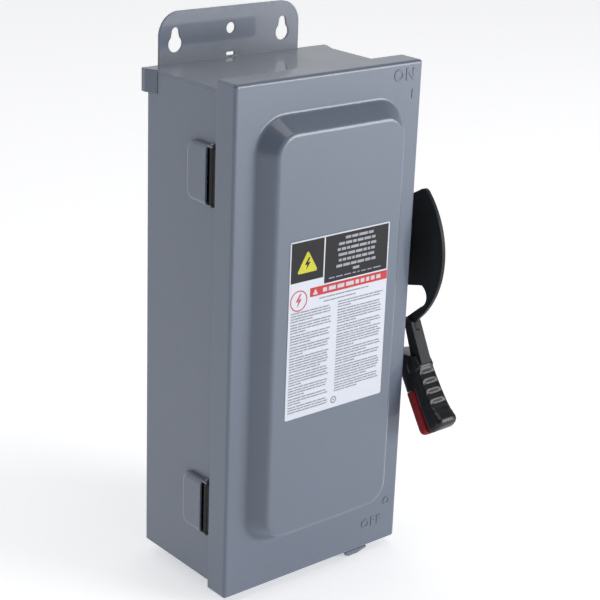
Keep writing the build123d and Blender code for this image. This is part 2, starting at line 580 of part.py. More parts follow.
def interlock_lever():
    """Keeps the cover shut while the switch is on: its nose rises in front of the cover's catch."""
    x = (66.0, 69.0)
    y, z = INTERLOCK_Y, INTERLOCK_Z
    arm = outline((y - 33.0, z + 13.0), (y - 33.0, z + 7.5), (y - 27.0, z + 5.0), (y, z - 6.0), (y + 10.0, z - 6.0),
                  (y + 12.0, z + 2.0), (y, z + 6.5), (y - 22.8, z + 9.5), (y - 24.0, z + 15.0))
    lever = side_plate(arm, x) + rod_x((65.2, 69.8), y, z, 7.0)
    lever = lever.rotate(Axis((0, y, z), (1, 0, 0)), INTERLOCK_SWING)
    return lever - rod_x((60, 80), y, z, 3.0 + FIT)


# ---- the knife switch ---------------------------------------------------------------------------
def legs(x, z):
    """Round posts under an insulating base, standing on the back wall."""
    return [rod_y(a, (BASE_FACE + BASE_T - 1, -SHEET - GAP), b, 6.0) for a in x for b in z]


BASE_X = (-73.0, 44.0)
BASE_POST_X = (-66.0, 37.0)


def switch_base():
    """The upper moulding: a raised deck on posts, with fins between the poles."""
    deck = block(BASE_X, (BASE_FACE, BASE_FACE + BASE_T), (28.0, 140.0))
    deck = fillet(deck.edges().filter_by(Axis.Y), 3.0)
    for post in legs(BASE_POST_X, (36.0, 132.0)):
        deck = deck + post
    for x in (-34.0, 4.0):
        fin = block((x - 1.5, x + 1.5), (-84.0, BASE_FACE + 1), (78.0, 139.0))
        deck = deck + fillet(fin.edges().filter_by(Axis.X).group_by(Axis.Y)[0], 5.0)
    for x in BASE_POST_X:
        for z in (36.0, 132.0):
            deck = deck - rod_y(x, (-60, 0), z, 2.3)
    return deck


def fuse_base():
    """The lower moulding under the fuse clips and load terminals."""
    deck = block(BASE_X, (BASE_FACE, BASE_FACE + BASE_T), (-152.0, 16.0))
    deck = fillet(deck.edges().filter_by(Axis.Y), 3.0)
    for post in legs(BASE_POST_X, (-144.0, -58.0, 8.0)):
        deck = deck + post
    for x in (-34.0, 4.0):
        rib = block((x - 1.5, x + 1.5), (BASE_FACE - 8, BASE_FACE + 1), (-150.0, 14.0))
        deck = deck + fillet(rib.edges().filter_by(Axis.X).group_by(Axis.Y)[0], 3.0)
    for x in BASE_POST_X:
        for z in (-144.0, 8.0):
            deck = deck - rod_y(x, (-60, 0), z, 2.3)
    return deck


def base_screws():
    screws = []
    for x in BASE_POST_X:
        for z in (132.0, 36.0, 8.0, -144.0):
            head = rod_y(x, (BASE_FACE - 2.8, BASE_FACE - GAP), z, 4.0)
            head = fillet(head.edges().group_by(Axis.Y)[0], 1.2)
            stem = rod_y(x, (BASE_FACE - 1, -SHEET - 2 * GAP), z, 2.25)
            slot = block((x - 5, x + 5), (BASE_FACE - 4, BASE_FACE - 1.8), (z - 0.5, z + 0.5))
            screws.append(head + stem - slot)
    return screws


def leaf_pair(x, face):
    """Two copper leaves that stand on either side of a blade."""
    inner = BLADE_T / 2 + LEAF_GAP
    left = side_plate(face, (x - inner - LEAF_T, x - inner))
    return left + side_plate(face, (x + inner, x + inner + LEAF_T))


STRAP_FACE = BASE_FACE - 2.0
STRAP_HALF_W = 7.0


def line_jaw(x):
    """A fixed jaw for the blade's tip, with the strap up to its line lug."""
    face = outline((STRAP_FACE, 76.5), (-63.0, 78.5), (-66.0, 82.0), (-66.0, 88.0), (-63.0, 92.0), (STRAP_FACE, 94.0))
    strap = block((x - STRAP_HALF_W, x + STRAP_HALF_W), (STRAP_FACE, BASE_FACE - GAP), (76.0, 134.0))
    return leaf_pair(x, face) + strap


def hinge_contact(x):
    """The fixed hinge of a blade, with the strap down to the upper fuse clip."""
    face = outline((STRAP_FACE, 33.0), (PIVOT_Y - 2, 34.5), (PIVOT_Y - 7, 39.0), (PIVOT_Y - 7, 47.0),
                   (PIVOT_Y - 2, 51.0), (STRAP_FACE, 52.5))
    strap = block((x - STRAP_HALF_W, x + STRAP_HALF_W), (STRAP_FACE, BASE_FACE - GAP), (-10.0, 53.0))
    contact = leaf_pair(x, face) + strap
    return contact - rod_x((x - 10, x + 10), PIVOT_Y, PIVOT_Z, 2.5 + FIT)


def knife_blade(x):
    """A copper blade in its open position, with its hinge pin through it."""
    closed = outline((PIVOT_Y - BLADE_W / 2, PIVOT_Z), (PIVOT_Y - BLADE_W / 2, PIVOT_Z + BLADE_R - 4),
                     (PIVOT_Y - BLADE_W / 2 + 4, PIVOT_Z + BLADE_R), (PIVOT_Y + BLADE_W / 2 - 4, PIVOT_Z + BLADE_R),
                     (PIVOT_Y + BLADE_W / 2, PIVOT_Z + BLADE_R - 4), (PIVOT_Y + BLADE_W / 2, PIVOT_Z))
    half = BLADE_T / 2
    blade = side_plate(closed, (x - half, x + half)) + rod_x((x - half, x + half), PIVOT_Y, PIVOT_Z, BLADE_W / 2)
    blade = blade + rod_x((x - 5.2, x + 5.2), PIVOT_Y, PIVOT_Z, 2.5)
    return blade.rotate(Axis((0, PIVOT_Y, PIVOT_Z), (1, 0, 0)), BLADE_OPEN)


def crossbar():
    """The insulating bar that ties the three blades together."""
    middle = PIVOT_Z + BAR_R
    bar = block((-66.0, 40.0), (PIVOT_Y - BAR_W / 2, PIVOT_Y + BAR_W / 2), (middle - BAR_H / 2, middle + BAR_H / 2))
    bar = fillet(bar.edges().filter_by(Axis.X), 2.5)
    for x in POLE_X:
        half = BLADE_T / 2 + GAP
        width = BLADE_W / 2 + GAP
        bar = bar - block((x - half, x + half), (PIVOT_Y - width, PIVOT_Y + width), (40, 90))
    return bar.rotate(Axis((0, PIVOT_Y, PIVOT_Z), (1, 0, 0)), BLADE_OPEN)


def blade_rivets():
    """Rivets that clamp the bar to each blade, one through the bar at every pole."""
    rivets = []
    for x in POLE_X:
        head = Pos(x, PIVOT_Y - BAR_W / 2 - 0.9, PIVOT_Z + BAR_R) * Rot(90, 0, 0) * Cylinder(3.2, 1.7)
        head = fillet(head.edges().group_by(Axis.Y)[0], 0.7)
        rivets.append(head.rotate(Axis((0, PIVOT_Y, PIVOT_Z), (1, 0, 0)), BLADE_OPEN))
    return rivets


END_PLATE_X = (58.5, 61.5)


def crossbar_arm():
    """The steel arm at the bar's right end: a journal in the frame and a plate with a curved slot."""
    axis = Axis((0, PIVOT_Y, PIVOT_Z), (1, 0, 0))
    middle = PIVOT_Z + BAR_R
    grip = block((40.0 + GAP, 43.5), (PIVOT_Y - 7, PIVOT_Y + 7), (PIVOT_Z, middle + 6))
    grip = grip + rod_x((40.0 + GAP, 43.5), PIVOT_Y, PIVOT_Z, 9.0)
    journal = rod_x((42.0, END_PLATE_X[0] + 1), PIVOT_Y, PIVOT_Z, 7.0)
    plate = rod_x(END_PLATE_X, PIVOT_Y, PIVOT_Z, DRIVE_ARM + 7.0)
    arm = (grip + journal).rotate(axis, BLADE_OPEN) + plate
    slot_in, slot_out = DRIVE_ARM - DRIVE_PIN_R - 0.4, DRIVE_ARM + DRIVE_PIN_R + 0.4
    ring = rod_x(END_PLATE_X, PIVOT_Y, PIVOT_Z, slot_out) - rod_x(END_PLATE_X, PIVOT_Y, PIVOT_Z, slot_in)
    margin = degrees(atan2(DRIVE_PIN_R + 0.4, DRIVE_ARM))
    start, end = 150 + margin, 150 - (120 - BLADE_OPEN) - margin
    far = 60.0
    wedge = outline((PIVOT_Y, PIVOT_Z), polar(far, start), polar(far, (start + end) / 2), polar(far, end))
    return arm - (ring & side_plate(wedge, END_PLATE_X)) - rod_x((56, 70), PIVOT_Y, PIVOT_Z, SHAFT_TAIL_R + FIT)


def arc_chute(x):
    """The insulating hood over a jaw that smothers the arc: two cheeks and a roof."""
    hood = block((x - 13.0, x + 13.0), (-97.0, STRAP_FACE - 1), (96.0, 106.0))
    for low, high in ((x - 13.0, x - 9.0), (x + 9.0, x + 13.0)):
        cheek = block((low, high), (-97.0, STRAP_FACE - 1), (79.0, 97.0))
        hood = hood + cheek
    return fillet(hood.edges().filter_by(Axis.X).group_by(Axis.Y)[0], 2.0)


def arc_plates(x):
    """Steel splitter plates inside a hood, each notched for the blade."""
    plates = []
    for step in range(4):
        y = -92.0 + 7.0 * step
        plate = block((x - 8.9, x + 8.9), (y, y + 1.0), (80.0, 95.9))
        plates.append(plate - block((x - 3.6, x + 3.6), (y - 1, y + 2), (70.0, 91.0)))
    return plates


def terminal_lug(x, z):
    """An aluminium box lug: a wire bore up and down and a tapped hole at the front."""
    lug = block((x - 7.5, x + 7.5), (-66.0, STRAP_FACE - GAP), (z - 9.0, z + 9.0))
    lug = fillet(lug.edges().filter_by(Axis.Z).group_by(Axis.Y)[0], 1.5)
    lug = lug - rod_z(x, -56.0, (z - 20, z + 20), 4.2)
    return lug - rod_y(x, (-70, -56), z, 3.3)


def lug_screw(x, z):
    """A slotted set screw, turned in to just clear the wire bore."""
    screw = rod_y(x, (-68.5, -60.6), z, 3.25)
    return screw - block((x - 4, x + 4), (-70, -67.2), (z - 0.6, z + 0.6))


LINE_LUG_Z, LOAD_LUG_Z = 123.0, -139.0


def fuse_clip(x, z):
    """A sprung copper cradle for a fuse's ferrule, open to the front."""
    wall = 1.0
    ring = rod_z(x, FUSE_Y, (z - 6, z + 6), FUSE_R + wall) - rod_z(x, FUSE_Y, (z - 7, z + 7), FUSE_R)
    ring = ring - block((x - 7.6, x + 7.6), (-90, FUSE_Y), (z - 7, z + 7))
    for side in (-1, 1):
        tip = Pos(x + side * 9.2, FUSE_Y - 10.0, z) * Rot(0, 0, side * 30) * Box(wall, 5.5, 12)
        ring = ring + tip
    neck_y = FUSE_Y + FUSE_R
    neck = block((x - 5, x + 5), (neck_y, STRAP_FACE + 0.5), (z - 6, z + 6))
    return ring + neck


def load_strap(x):
    """The lower clip with its strap down to the load lug."""
    strap = block((x - STRAP_HALF_W, x + STRAP_HALF_W), (STRAP_FACE, BASE_FACE - GAP), (-149.0, -104.0))
    return strap + fuse_clip(x, CLIP_HEIGHTS[1])


def upper_clip(x):
    clip = fuse_clip(x, CLIP_HEIGHTS[0])
    return clip - block((x - 10, x + 10), (STRAP_FACE - GAP, 0), (-20, 20))


# ---- earth bar, wiring barrier ------------------------------------------------------------------
EARTH_X, EARTH_Z = (-38.0, -2.0), -161.0
EARTH_SCREWS = (-31.0, -20.0, -9.0)


def earth_bar():
    """The aluminium bar for the earth wires, low on the back wall."""
    bar = block(EARTH_X, (-14.0, -SHEET - GAP), (EARTH_Z - 5, EARTH_Z + 5))
    bar = fillet(bar.edges().filter_by(Axis.X).group_by(Axis.Y)[0], 1.2)
    for x in (EARTH_SCREWS[0], EARTH_SCREWS[2]):
        bar = bar - rod_z(x, -8.0, (EARTH_Z - 9, EARTH_Z + 9), 2.6)
        bar = bar - rod_y(x, (-20, -8), EARTH_Z, 2.3)
    return bar - rod_y(EARTH_SCREWS[1], (-20, 0), EARTH_Z, 2.3)


def earth_screws():
    screws = []
    for x in EARTH_SCREWS:
        deep = -SHEET - 2 * GAP if x == EARTH_SCREWS[1] else -11.0
        head = rod_y(x, (-17.0, -14.0 - GAP), EARTH_Z, 3.6)
        head = fillet(head.edges().group_by(Axis.Y)[0], 0.8)
        stem = rod_y(x, (-15.0, deep), EARTH_Z, 2.25)
        screws.append(head + stem - block((x - 5, x + 5), (-18, -16.0), (EARTH_Z - 0.5, EARTH_Z + 0.5)))
    return screws


def line_shield():
    """A clear guard in front of the live line lugs, standing on the base's fins."""
    plate = block((-72.0, 43.0), (-86.6, -84.1), (108.5, 146.0))
    plate = fillet(plate.edges().filter_by(Axis.Y), 3.0)
    skirt = block((-72.0, 43.0), (-86.6, -50.0), (143.6, 146.0))
    for x in POLE_X:
        skirt = skirt - rod_z(x, -60.0, (140, 150), 8.0)
        plate = plate - rod_y(x, (-90, -80), LINE_LUG_Z, 3.5)
    return plate + skirt


# ---- write every piece --------------------------------------------------------------------------
def main():
    os.makedirs("parts", exist_ok=True)
    save("enclosure_wrap", enclosure_wrap())
    save("top_end_wall", top_end_wall())
    save("bottom_end_wall", bottom_end_wall())
    save("bottom_knockouts", *bottom_knockouts())
    save("hinge_pins", *hinge_pins())
    save("cover_pan", cover_pan())
    save("upper_hinge_leaf", hinge_leaf(HINGE_HEIGHTS[0]))
    save("lower_hinge_leaf", hinge_leaf(HINGE_HEIGHTS[1]))
    save("label_plate", label_plate())
    save("cover_catch", cover_catch())
    save("latch_bracket", latch_bracket())
    save("latch_rivets", *latch_rivets())
    save("latch_pin", latch_pin())
    save("cover_latch", cover_latch())
    save("bearing_plate", bearing_plate())
    save("bearing_rivets", *bearing_rivets())
    save("shaft_bushing", shaft_bushing())
    save("lever_guard", lever_guard())
    save("lever_neck", lever_neck())
    save("grip_front", grip_front())
    save("grip_rear", grip_rear())
    save("grip_screws", *grip_screws())
    save("handle_shaft", handle_shaft())
    save("hub_screw", hub_screw())
    save("drive_crank", drive_crank())
    save("toggle_guide", toggle_guide())
    save("toggle_spring", toggle_spring())
    save("mechanism_frame", mechanism_frame())
    save("mechanism_screws", *mechanism_screws())
    save("interlock_post", interlock_post())
    save("interlock_lever", interlock_lever())
    save("switch_base", switch_base())
    save("fuse_base", fuse_base())
    save("base_screws", *base_screws())
    for name, x in zip(("left", "middle", "right"), POLE_X):
        save(f"line_jaw_{name}", line_jaw(x))
        save(f"hinge_contact_{name}", hinge_contact(x))
        save(f"knife_blade_{name}", knife_blade(x))
        save(f"arc_chute_{name}", arc_chute(x))
    save("arc_plates", *[plate for x in POLE_X for plate in arc_plates(x)])
    save("crossbar", crossbar())
    save("blade_rivets", *blade_rivets())
    save("crossbar_arm", crossbar_arm())
    save("upper_fuse_clips", *[upper_clip(x) for x in POLE_X])
    save("lower_fuse_clips", *[load_strap(x) for x in POLE_X])
    save("line_lugs", *[terminal_lug(x, LINE_LUG_Z) for x in POLE_X])
    save("load_lugs", *[terminal_lug(x, LOAD_LUG_Z) for x in POLE_X])
    save("lug_screws", *[lug_screw(x, z) for x in POLE_X for z in (LINE_LUG_Z, LOAD_LUG_Z)])
    save("earth_bar", earth_bar())
    save("earth_screws", *earth_screws())
    save("line_shield", line_shield())


main()
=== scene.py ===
# %% [markdown]
# # A wall-hung safety switch
#
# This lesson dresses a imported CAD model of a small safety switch: a sheet-steel box with a pressed,
# hinged cover, a side lever with a crescent guard, and a three-pole knife switch with fuse clips inside.
# The CAD model is the fixed frame. We never move or reshape its parts: we give them better materials,
# or hide one and build a finer piece in its place.

# %% Load the frame
import math
import random

import bpy
from mathutils import Matrix, Vector
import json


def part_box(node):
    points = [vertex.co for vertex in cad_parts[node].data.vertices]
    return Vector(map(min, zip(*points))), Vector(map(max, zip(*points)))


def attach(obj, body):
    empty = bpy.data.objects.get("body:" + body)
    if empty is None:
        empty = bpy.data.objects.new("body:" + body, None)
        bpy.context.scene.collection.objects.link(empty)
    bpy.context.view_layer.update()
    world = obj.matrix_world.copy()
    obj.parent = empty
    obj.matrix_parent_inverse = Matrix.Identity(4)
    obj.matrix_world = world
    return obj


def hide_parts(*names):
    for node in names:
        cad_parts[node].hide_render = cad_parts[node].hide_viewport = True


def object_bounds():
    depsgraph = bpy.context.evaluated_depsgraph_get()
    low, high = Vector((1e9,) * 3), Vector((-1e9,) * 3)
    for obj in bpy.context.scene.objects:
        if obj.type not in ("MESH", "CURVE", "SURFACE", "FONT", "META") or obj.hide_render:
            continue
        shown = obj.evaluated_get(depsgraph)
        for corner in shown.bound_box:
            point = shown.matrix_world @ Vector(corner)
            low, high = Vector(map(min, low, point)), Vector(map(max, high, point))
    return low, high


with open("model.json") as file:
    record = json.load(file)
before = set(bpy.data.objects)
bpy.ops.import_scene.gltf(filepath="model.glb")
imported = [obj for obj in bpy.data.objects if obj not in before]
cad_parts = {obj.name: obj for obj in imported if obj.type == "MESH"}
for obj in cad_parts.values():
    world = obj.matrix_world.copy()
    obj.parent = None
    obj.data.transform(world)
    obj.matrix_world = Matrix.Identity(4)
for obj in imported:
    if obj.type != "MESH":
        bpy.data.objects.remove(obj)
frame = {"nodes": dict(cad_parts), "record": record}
cad_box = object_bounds()
nodes = frame["nodes"]
MM = 0.001
print("CAD box in mm:", [[round(v / MM, 1) for v in corner] for corner in cad_box])


def middle(node):
    """The centre of a CAD node's box, in metres."""
    low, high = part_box(node)
    return (low + high) / 2


# %% [markdown]
# ## The camera
#
# The box is seen from its left and a little above, so the cover, the hinge side and a narrow strip of the
# top show at once. A camera is easiest to control with an aim point, a turn, a climb and a distance, so we
# build its matrix from those four and add the small roll that a hand-held view has.

# %% Camera
AIM = Vector((0.01537, -0.06306, 0.01099))
TURN, CLIMB, ROLL = math.radians(-40.437), math.radians(20.048), math.radians(2.218)
DISTANCE = 1.18034
LENS, SENSOR = 95.956, 36.0
NEAREST, FARTHEST = 0.05, 20.0


def viewing_axes(turn, climb, roll):
    """Right, up and backward unit vectors of a camera that looks along +Y when nothing is turned."""
    back = Vector((math.sin(turn) * math.cos(climb), -math.cos(turn) * math.cos(climb), math.sin(climb)))
    right = Vector((0, 0, 1)).cross(back).normalized()
    up = back.cross(right)
    rolled_right = math.cos(roll) * right + math.sin(roll) * up
    rolled_up = math.cos(roll) * up - math.sin(roll) * right
    return rolled_right, rolled_up, back


right, up, back = viewing_axes(TURN, CLIMB, ROLL)
camera_data = bpy.data.cameras.new("camera")
camera_data.lens, camera_data.sensor_width = LENS, SENSOR
camera_data.clip_start, camera_data.clip_end = NEAREST, FARTHEST
camera = bpy.data.objects.new("camera", camera_data)
bpy.context.scene.collection.objects.link(camera)
camera_turn = Matrix((right, up, back)).transposed().to_4x4()
camera.matrix_world = Matrix.Translation(AIM + DISTANCE * back) @ camera_turn
bpy.context.scene.camera = camera
print("camera at", [round(v, 4) for v in camera.matrix_world.translation])

# %% [markdown]
# ## Floor and light
#
# A product like this is shown on plain white with soft light. The floor is a wide pale plane just under
# the lowest part, and it glows a little so that it stays near white. The world is bright behind and dim in
# front, like a white sweep in a dark studio: the top picks up long soft reflections, and the slanted wall
# that faces the viewer's side goes darkest. One big panel to the front right makes the cover the brightest
# face. Weaker panels behind the left side and overhead lift the side wall and the top.

# %% Floor
FLOOR_SIZE = 30.0
FLOOR_DROP = 0.3 * MM
FLOOR_GLOW = 0.46
floor_height = cad_box[0].z - FLOOR_DROP


def plain_material(name):
    """A new node material; returns it with its node tree and its Principled shader."""
    material = bpy.data.materials.new(name)
    material.use_nodes = True
    tree = material.node_tree
    return material, tree, tree.nodes["Principled BSDF"]


def deselect():
    bpy.ops.object.select_all(action="DESELECT")


deselect()
bpy.ops.mesh.primitive_plane_add(size=FLOOR_SIZE, location=(0, 0, floor_height))
floor = bpy.context.object
floor.name = "floor"
floor_material, _, floor_shader = plain_material("floor_white")
floor_shader.inputs["Base Color"].default_value = (0.93, 0.93, 0.94, 1)
floor_shader.inputs["Roughness"].default_value = 0.9
floor_shader.inputs["Emission Color"].default_value = (1, 1, 1, 1)
floor_shader.inputs["Emission Strength"].default_value = FLOOR_GLOW
floor.data.materials.append(floor_material)
print("floor at", round(floor_height / MM, 1), "mm")

# %% Studio light
WORLD_FRONT, WORLD_BACK, SKY_SEEN = 0.07, 0.88, 0.92
FADE_FROM, FADE_TO = -0.35, 0.75
COVER_AIM, TOP_AIM = (0, -0.06, 0), (0, -0.06, 0.1)

world = bpy.data.worlds.new("studio")
world.use_nodes = True
bpy.context.scene.world = world
sky = world.node_tree
sky_color = sky.nodes["Background"]
sky_color.inputs["Color"].default_value = (0.97, 0.98, 1.0, 1)
sky_place = sky.nodes.new("ShaderNodeTexCoord")
sky_parts = sky.nodes.new("ShaderNodeSeparateXYZ")
sky_fade = sky.nodes.new("ShaderNodeMapRange")
sky_fade.inputs["From Min"].default_value = FADE_FROM
sky_fade.inputs["From Max"].default_value = FADE_TO
sky_fade.inputs["To Min"].default_value = WORLD_FRONT
sky_fade.inputs["To Max"].default_value = WORLD_BACK
sky.links.new(sky_place.outputs["Generated"], sky_parts.inputs[0])
sky.links.new(sky_parts.outputs["Y"], sky_fade.inputs["Value"])
sky_seen = sky.nodes.new("ShaderNodeLightPath")
sky_mix = sky.nodes.new("ShaderNodeMix")
sky_mix.inputs["B"].default_value = SKY_SEEN
sky.links.new(sky_seen.outputs["Is Camera Ray"], sky_mix.inputs["Factor"])
sky.links.new(sky_fade.outputs[0], sky_mix.inputs["A"])
sky.links.new(sky_mix.outputs["Result"], sky_color.inputs["Strength"])


def panel_light(name, place, target, size, power):
    """A square area light at a place, turned to face a target point: metres and watts."""
    light_data = bpy.data.lights.new(name, "AREA")
    light_data.size, light_data.energy = size, power
    light = bpy.data.objects.new(name, light_data)
    bpy.context.scene.collection.objects.link(light)
    facing = (Vector(target) - Vector(place)).to_track_quat("-Z", "Y")
    light.matrix_world = Matrix.Translation(place) @ facing.to_matrix().to_4x4()


panel_light("key", (1.75, -2.5, 0.5), COVER_AIM, 1.5, 66)
panel_light("fill", (-1.9, 2.1, 0.7), COVER_AIM, 1.6, 3)
panel_light("top", (0.3, -1.0, 2.6), TOP_AIM, 1.4, 14)
bpy.context.scene.view_settings.view_transform = "Standard"

# %% [markdown]
# ## Node helpers
#
# Materials in Blender are graphs of nodes. Two small helpers keep the code short: one adds a node and fills
# in its settings, and one starts a node group, which is a graph with named inputs and outputs that several
# materials can share.

# %% Node helpers
def add_node(tree, kind, values=None, **settings):
    """Adds a node, sets its properties, and fills its input sockets by name or number."""
    node = tree.nodes.new(kind)
    for name, value in settings.items():
        setattr(node, name, value)
    for socket, value in (values or {}).items():
        node.inputs[socket].default_value = value
    return node


def wire(tree, source, target):
    tree.links.new(source, target)


def new_group(name, inputs, outputs):
    """A shader node group; returns it with the sockets its inner nodes are wired to."""
    group = bpy.data.node_groups.new(name, "ShaderNodeTree")
    for label, value in inputs.items():
        socket = group.interface.new_socket(label, in_out="INPUT", socket_type="NodeSocketFloat")
        socket.default_value = value
    for label, kind in outputs.items():
        group.interface.new_socket(label, in_out="OUTPUT", socket_type=kind)
    return group, group.nodes.new("NodeGroupInput").outputs, group.nodes.new("NodeGroupOutput").inputs


def place_group(tree, group, values):
    node = tree.nodes.new("ShaderNodeGroup")
    node.node_tree = group
    for label, value in values.items():
        node.inputs[label].default_value = value
    return node


def math_node(tree, operation, first, second):
    """A Math node; each side is a number or a socket."""
    node = add_node(tree, "ShaderNodeMath", operation=operation)
    for slot_number, side in enumerate((first, second)):
        if isinstance(side, (int, float)):
            node.inputs[slot_number].default_value = side
        else:
            wire(tree, side, node.inputs[slot_number])
    return node.outputs[0]


# %% [markdown]
# ## Edge wear
#
# Paint and plating thin out along edges first. Pointiness would need a connected mesh, and CAD meshes are
# loose triangles, so we compare the true normal with the one the Bevel node gives: they differ only near an
# edge. The same Bevel normal also rounds every sharp edge in the shading, which catches a fine highlight.

# %% Edge wear group
edge_wear, given, result = new_group("edge_wear", {"Width": 0.0006, "Amount": 0.5, "Patchiness": 900.0},
                                     {"Mask": "NodeSocketFloat", "Soft Normal": "NodeSocketVector"})
rounded = add_node(edge_wear, "ShaderNodeBevel", samples=4)
wire(edge_wear, given["Width"], rounded.inputs["Radius"])
true_normal = add_node(edge_wear, "ShaderNodeNewGeometry")
alike = add_node(edge_wear, "ShaderNodeVectorMath", operation="DOT_PRODUCT")
wire(edge_wear, rounded.outputs[0], alike.inputs[0])
wire(edge_wear, true_normal.outputs["Normal"], alike.inputs[1])
edge = add_node(edge_wear, "ShaderNodeMapRange", {"From Min": 0.985, "From Max": 0.82})
wire(edge_wear, alike.outputs["Value"], edge.inputs["Value"])
spot = add_node(edge_wear, "ShaderNodeTexCoord")
patches = add_node(edge_wear, "ShaderNodeTexNoise", {"Detail": 3.0})
wire(edge_wear, spot.outputs["Object"], patches.inputs["Vector"])
wire(edge_wear, given["Patchiness"], patches.inputs["Scale"])
patchy = add_node(edge_wear, "ShaderNodeMapRange", {"From Min": 0.42, "From Max": 0.62})
wire(edge_wear, patches.outputs["Fac"], patchy.inputs["Value"])
worn = math_node(edge_wear, "MULTIPLY", edge.outputs[0], patchy.outputs[0])
wire(edge_wear, math_node(edge_wear, "MULTIPLY", worn, given["Amount"]), result["Mask"])
wire(edge_wear, rounded.outputs[0], result["Soft Normal"])
print("edge_wear:", len(edge_wear.nodes), "nodes")

# %% [markdown]
# ## Clouds, grain, brush lines and dust
#
# Four more effects cover nearly every finish here. Clouds are broad, weak changes of tone. Grain is the
# fine relief of a surface: orange peel in sprayed enamel, spark-eroded texture on moulded plastic. Brush
# lines are the same noise pulled out along one axis, as rolling or sanding leaves them. Dust lies on what
# faces up.

# %% Cloud, grain and brush groups
def noise_group(name, scale, detail, stretch=(1, 1, 1)):
    """Noise on object coordinates, with its scale as an input, centred on one half."""
    group, inputs, outputs = new_group(name, {"Scale": scale, "Contrast": 1.0}, {"Value": "NodeSocketFloat"})
    place = add_node(group, "ShaderNodeTexCoord")
    mapping = add_node(group, "ShaderNodeMapping", {"Scale": stretch})
    noise = add_node(group, "ShaderNodeTexNoise", {"Detail": detail})
    wire(group, place.outputs["Object"], mapping.inputs["Vector"])
    wire(group, mapping.outputs[0], noise.inputs["Vector"])
    wire(group, inputs["Scale"], noise.inputs["Scale"])
    swing = math_node(group, "SUBTRACT", noise.outputs["Fac"], 0.5)
    wider = math_node(group, "MULTIPLY", swing, inputs["Contrast"])
    wire(group, math_node(group, "ADD", wider, 0.5), outputs["Value"])
    return group


clouds = noise_group("clouds", 14.0, 3.0)
grain = noise_group("grain", 1400.0, 2.0)
brush = {"x": noise_group("brush_along_x", 2500.0, 3.0, (0.02, 1, 1)),
         "y": noise_group("brush_along_y", 2500.0, 3.0, (1, 0.02, 1)),
         "z": noise_group("brush_along_z", 2500.0, 3.0, (1, 1, 0.02))}

# %% Dust group
dust, given, result = new_group("dust", {"Amount": 0.3, "Scale": 220.0}, {"Mask": "NodeSocketFloat"})
facing = add_node(dust, "ShaderNodeNewGeometry")
split = add_node(dust, "ShaderNodeSeparateXYZ")
wire(dust, facing.outputs["Normal"], split.inputs[0])
upward = add_node(dust, "ShaderNodeMapRange", {"From Min": 0.35, "From Max": 0.95})
wire(dust, split.outputs["Z"], upward.inputs["Value"])
spot = add_node(dust, "ShaderNodeTexCoord")
specks = add_node(dust, "ShaderNodeTexNoise", {"Detail": 6.0})
wire(dust, spot.outputs["Object"], specks.inputs["Vector"])
wire(dust, given["Scale"], specks.inputs["Scale"])
settled = math_node(dust, "MULTIPLY", upward.outputs[0], specks.outputs["Fac"])
wire(dust, math_node(dust, "MULTIPLY", settled, given["Amount"]), result["Mask"])
print("groups:", sorted(g.name for g in bpy.data.node_groups))

# %% [markdown]
# ## One recipe for a finish
#
# Every finish below is the same stack: a base colour that drifts with the clouds, bare or polished edges
# mixed in by the wear mask, then a little dust, with grain and brush lines as relief. Writing the stack once
# keeps the finishes alike where they should be alike, and leaves only their own numbers to choose.

# %% The finish recipe
DUST_COLOR = (0.30, 0.29, 0.27)
GRAIN_UNDER_BRUSH = 0.35
SMUDGE_FINENESS = 4.3


def mix_colors(tree, factor, first, second):
    """Mixes two colours by a mask; each colour is three numbers or a socket."""
    node = add_node(tree, "ShaderNodeMix", data_type="RGBA")
    wire(tree, factor, node.inputs[0])
    for slot_number, color in ((6, first), (7, second)):
        if isinstance(color, tuple):
            node.inputs[slot_number].default_value = (*color, 1)
        else:
            wire(tree, color, node.inputs[slot_number])
    return node.outputs[2]


def finish(name, color, roughness, metallic=0.0, drift=0.12, cloud_scale=14.0, grain_scale=1400.0,
           relief=0.02, brushed=None, worn_color=None, wear=0.0, edge_width=0.0006, dusty=0.0,
           rough_drift=0.12):
    """A complete node material; returns it with its tree and shader for anything special."""
    material, tree, shader = plain_material(name)
    cloudy = place_group(tree, clouds, {"Scale": cloud_scale, "Contrast": 1.6})
    darker = tuple(c * (1 - drift) for c in color)
    lighter = tuple(c * (1 + drift) for c in color)
    shade = mix_colors(tree, cloudy.outputs[0], darker, lighter)
    edges = place_group(tree, edge_wear, {"Width": edge_width, "Amount": wear})
    if worn_color:
        shade = mix_colors(tree, edges.outputs["Mask"], shade, worn_color)
    if dusty:
        film = place_group(tree, dust, {"Amount": dusty})
        shade = mix_colors(tree, film.outputs[0], shade, DUST_COLOR)
    wire(tree, shade, shader.inputs["Base Color"])
    fine = place_group(tree, grain, {"Scale": grain_scale, "Contrast": 1.0})
    height = fine.outputs[0]
    if brushed:
        lines = place_group(tree, brush[brushed], {"Contrast": 1.4})
        weak_grain = math_node(tree, "MULTIPLY", height, GRAIN_UNDER_BRUSH)
        height = math_node(tree, "ADD", weak_grain, lines.outputs[0])
    smudge = place_group(tree, clouds, {"Scale": cloud_scale * SMUDGE_FINENESS, "Contrast": 1.8})
    off_middle = math_node(tree, "SUBTRACT", smudge.outputs[0], 0.5)
    swing = math_node(tree, "MULTIPLY", off_middle, rough_drift)
    wire(tree, math_node(tree, "ADD", swing, roughness), shader.inputs["Roughness"])
    bump = add_node(tree, "ShaderNodeBump", {"Strength": 1.0, "Distance": relief * MM})
    wire(tree, height, bump.inputs["Height"])
    wire(tree, edges.outputs["Soft Normal"], bump.inputs["Normal"])
    wire(tree, bump.outputs[0], shader.inputs["Normal"])
    shader.inputs["Metallic"].default_value = metallic
    return material, tree, shader


# %% [markdown]
# ## Putting a finish on the CAD parts
#
# The record names a material slot for every part, so a finish is dressed onto all parts of its slot at once.

# %% Dressing
finishes = {}


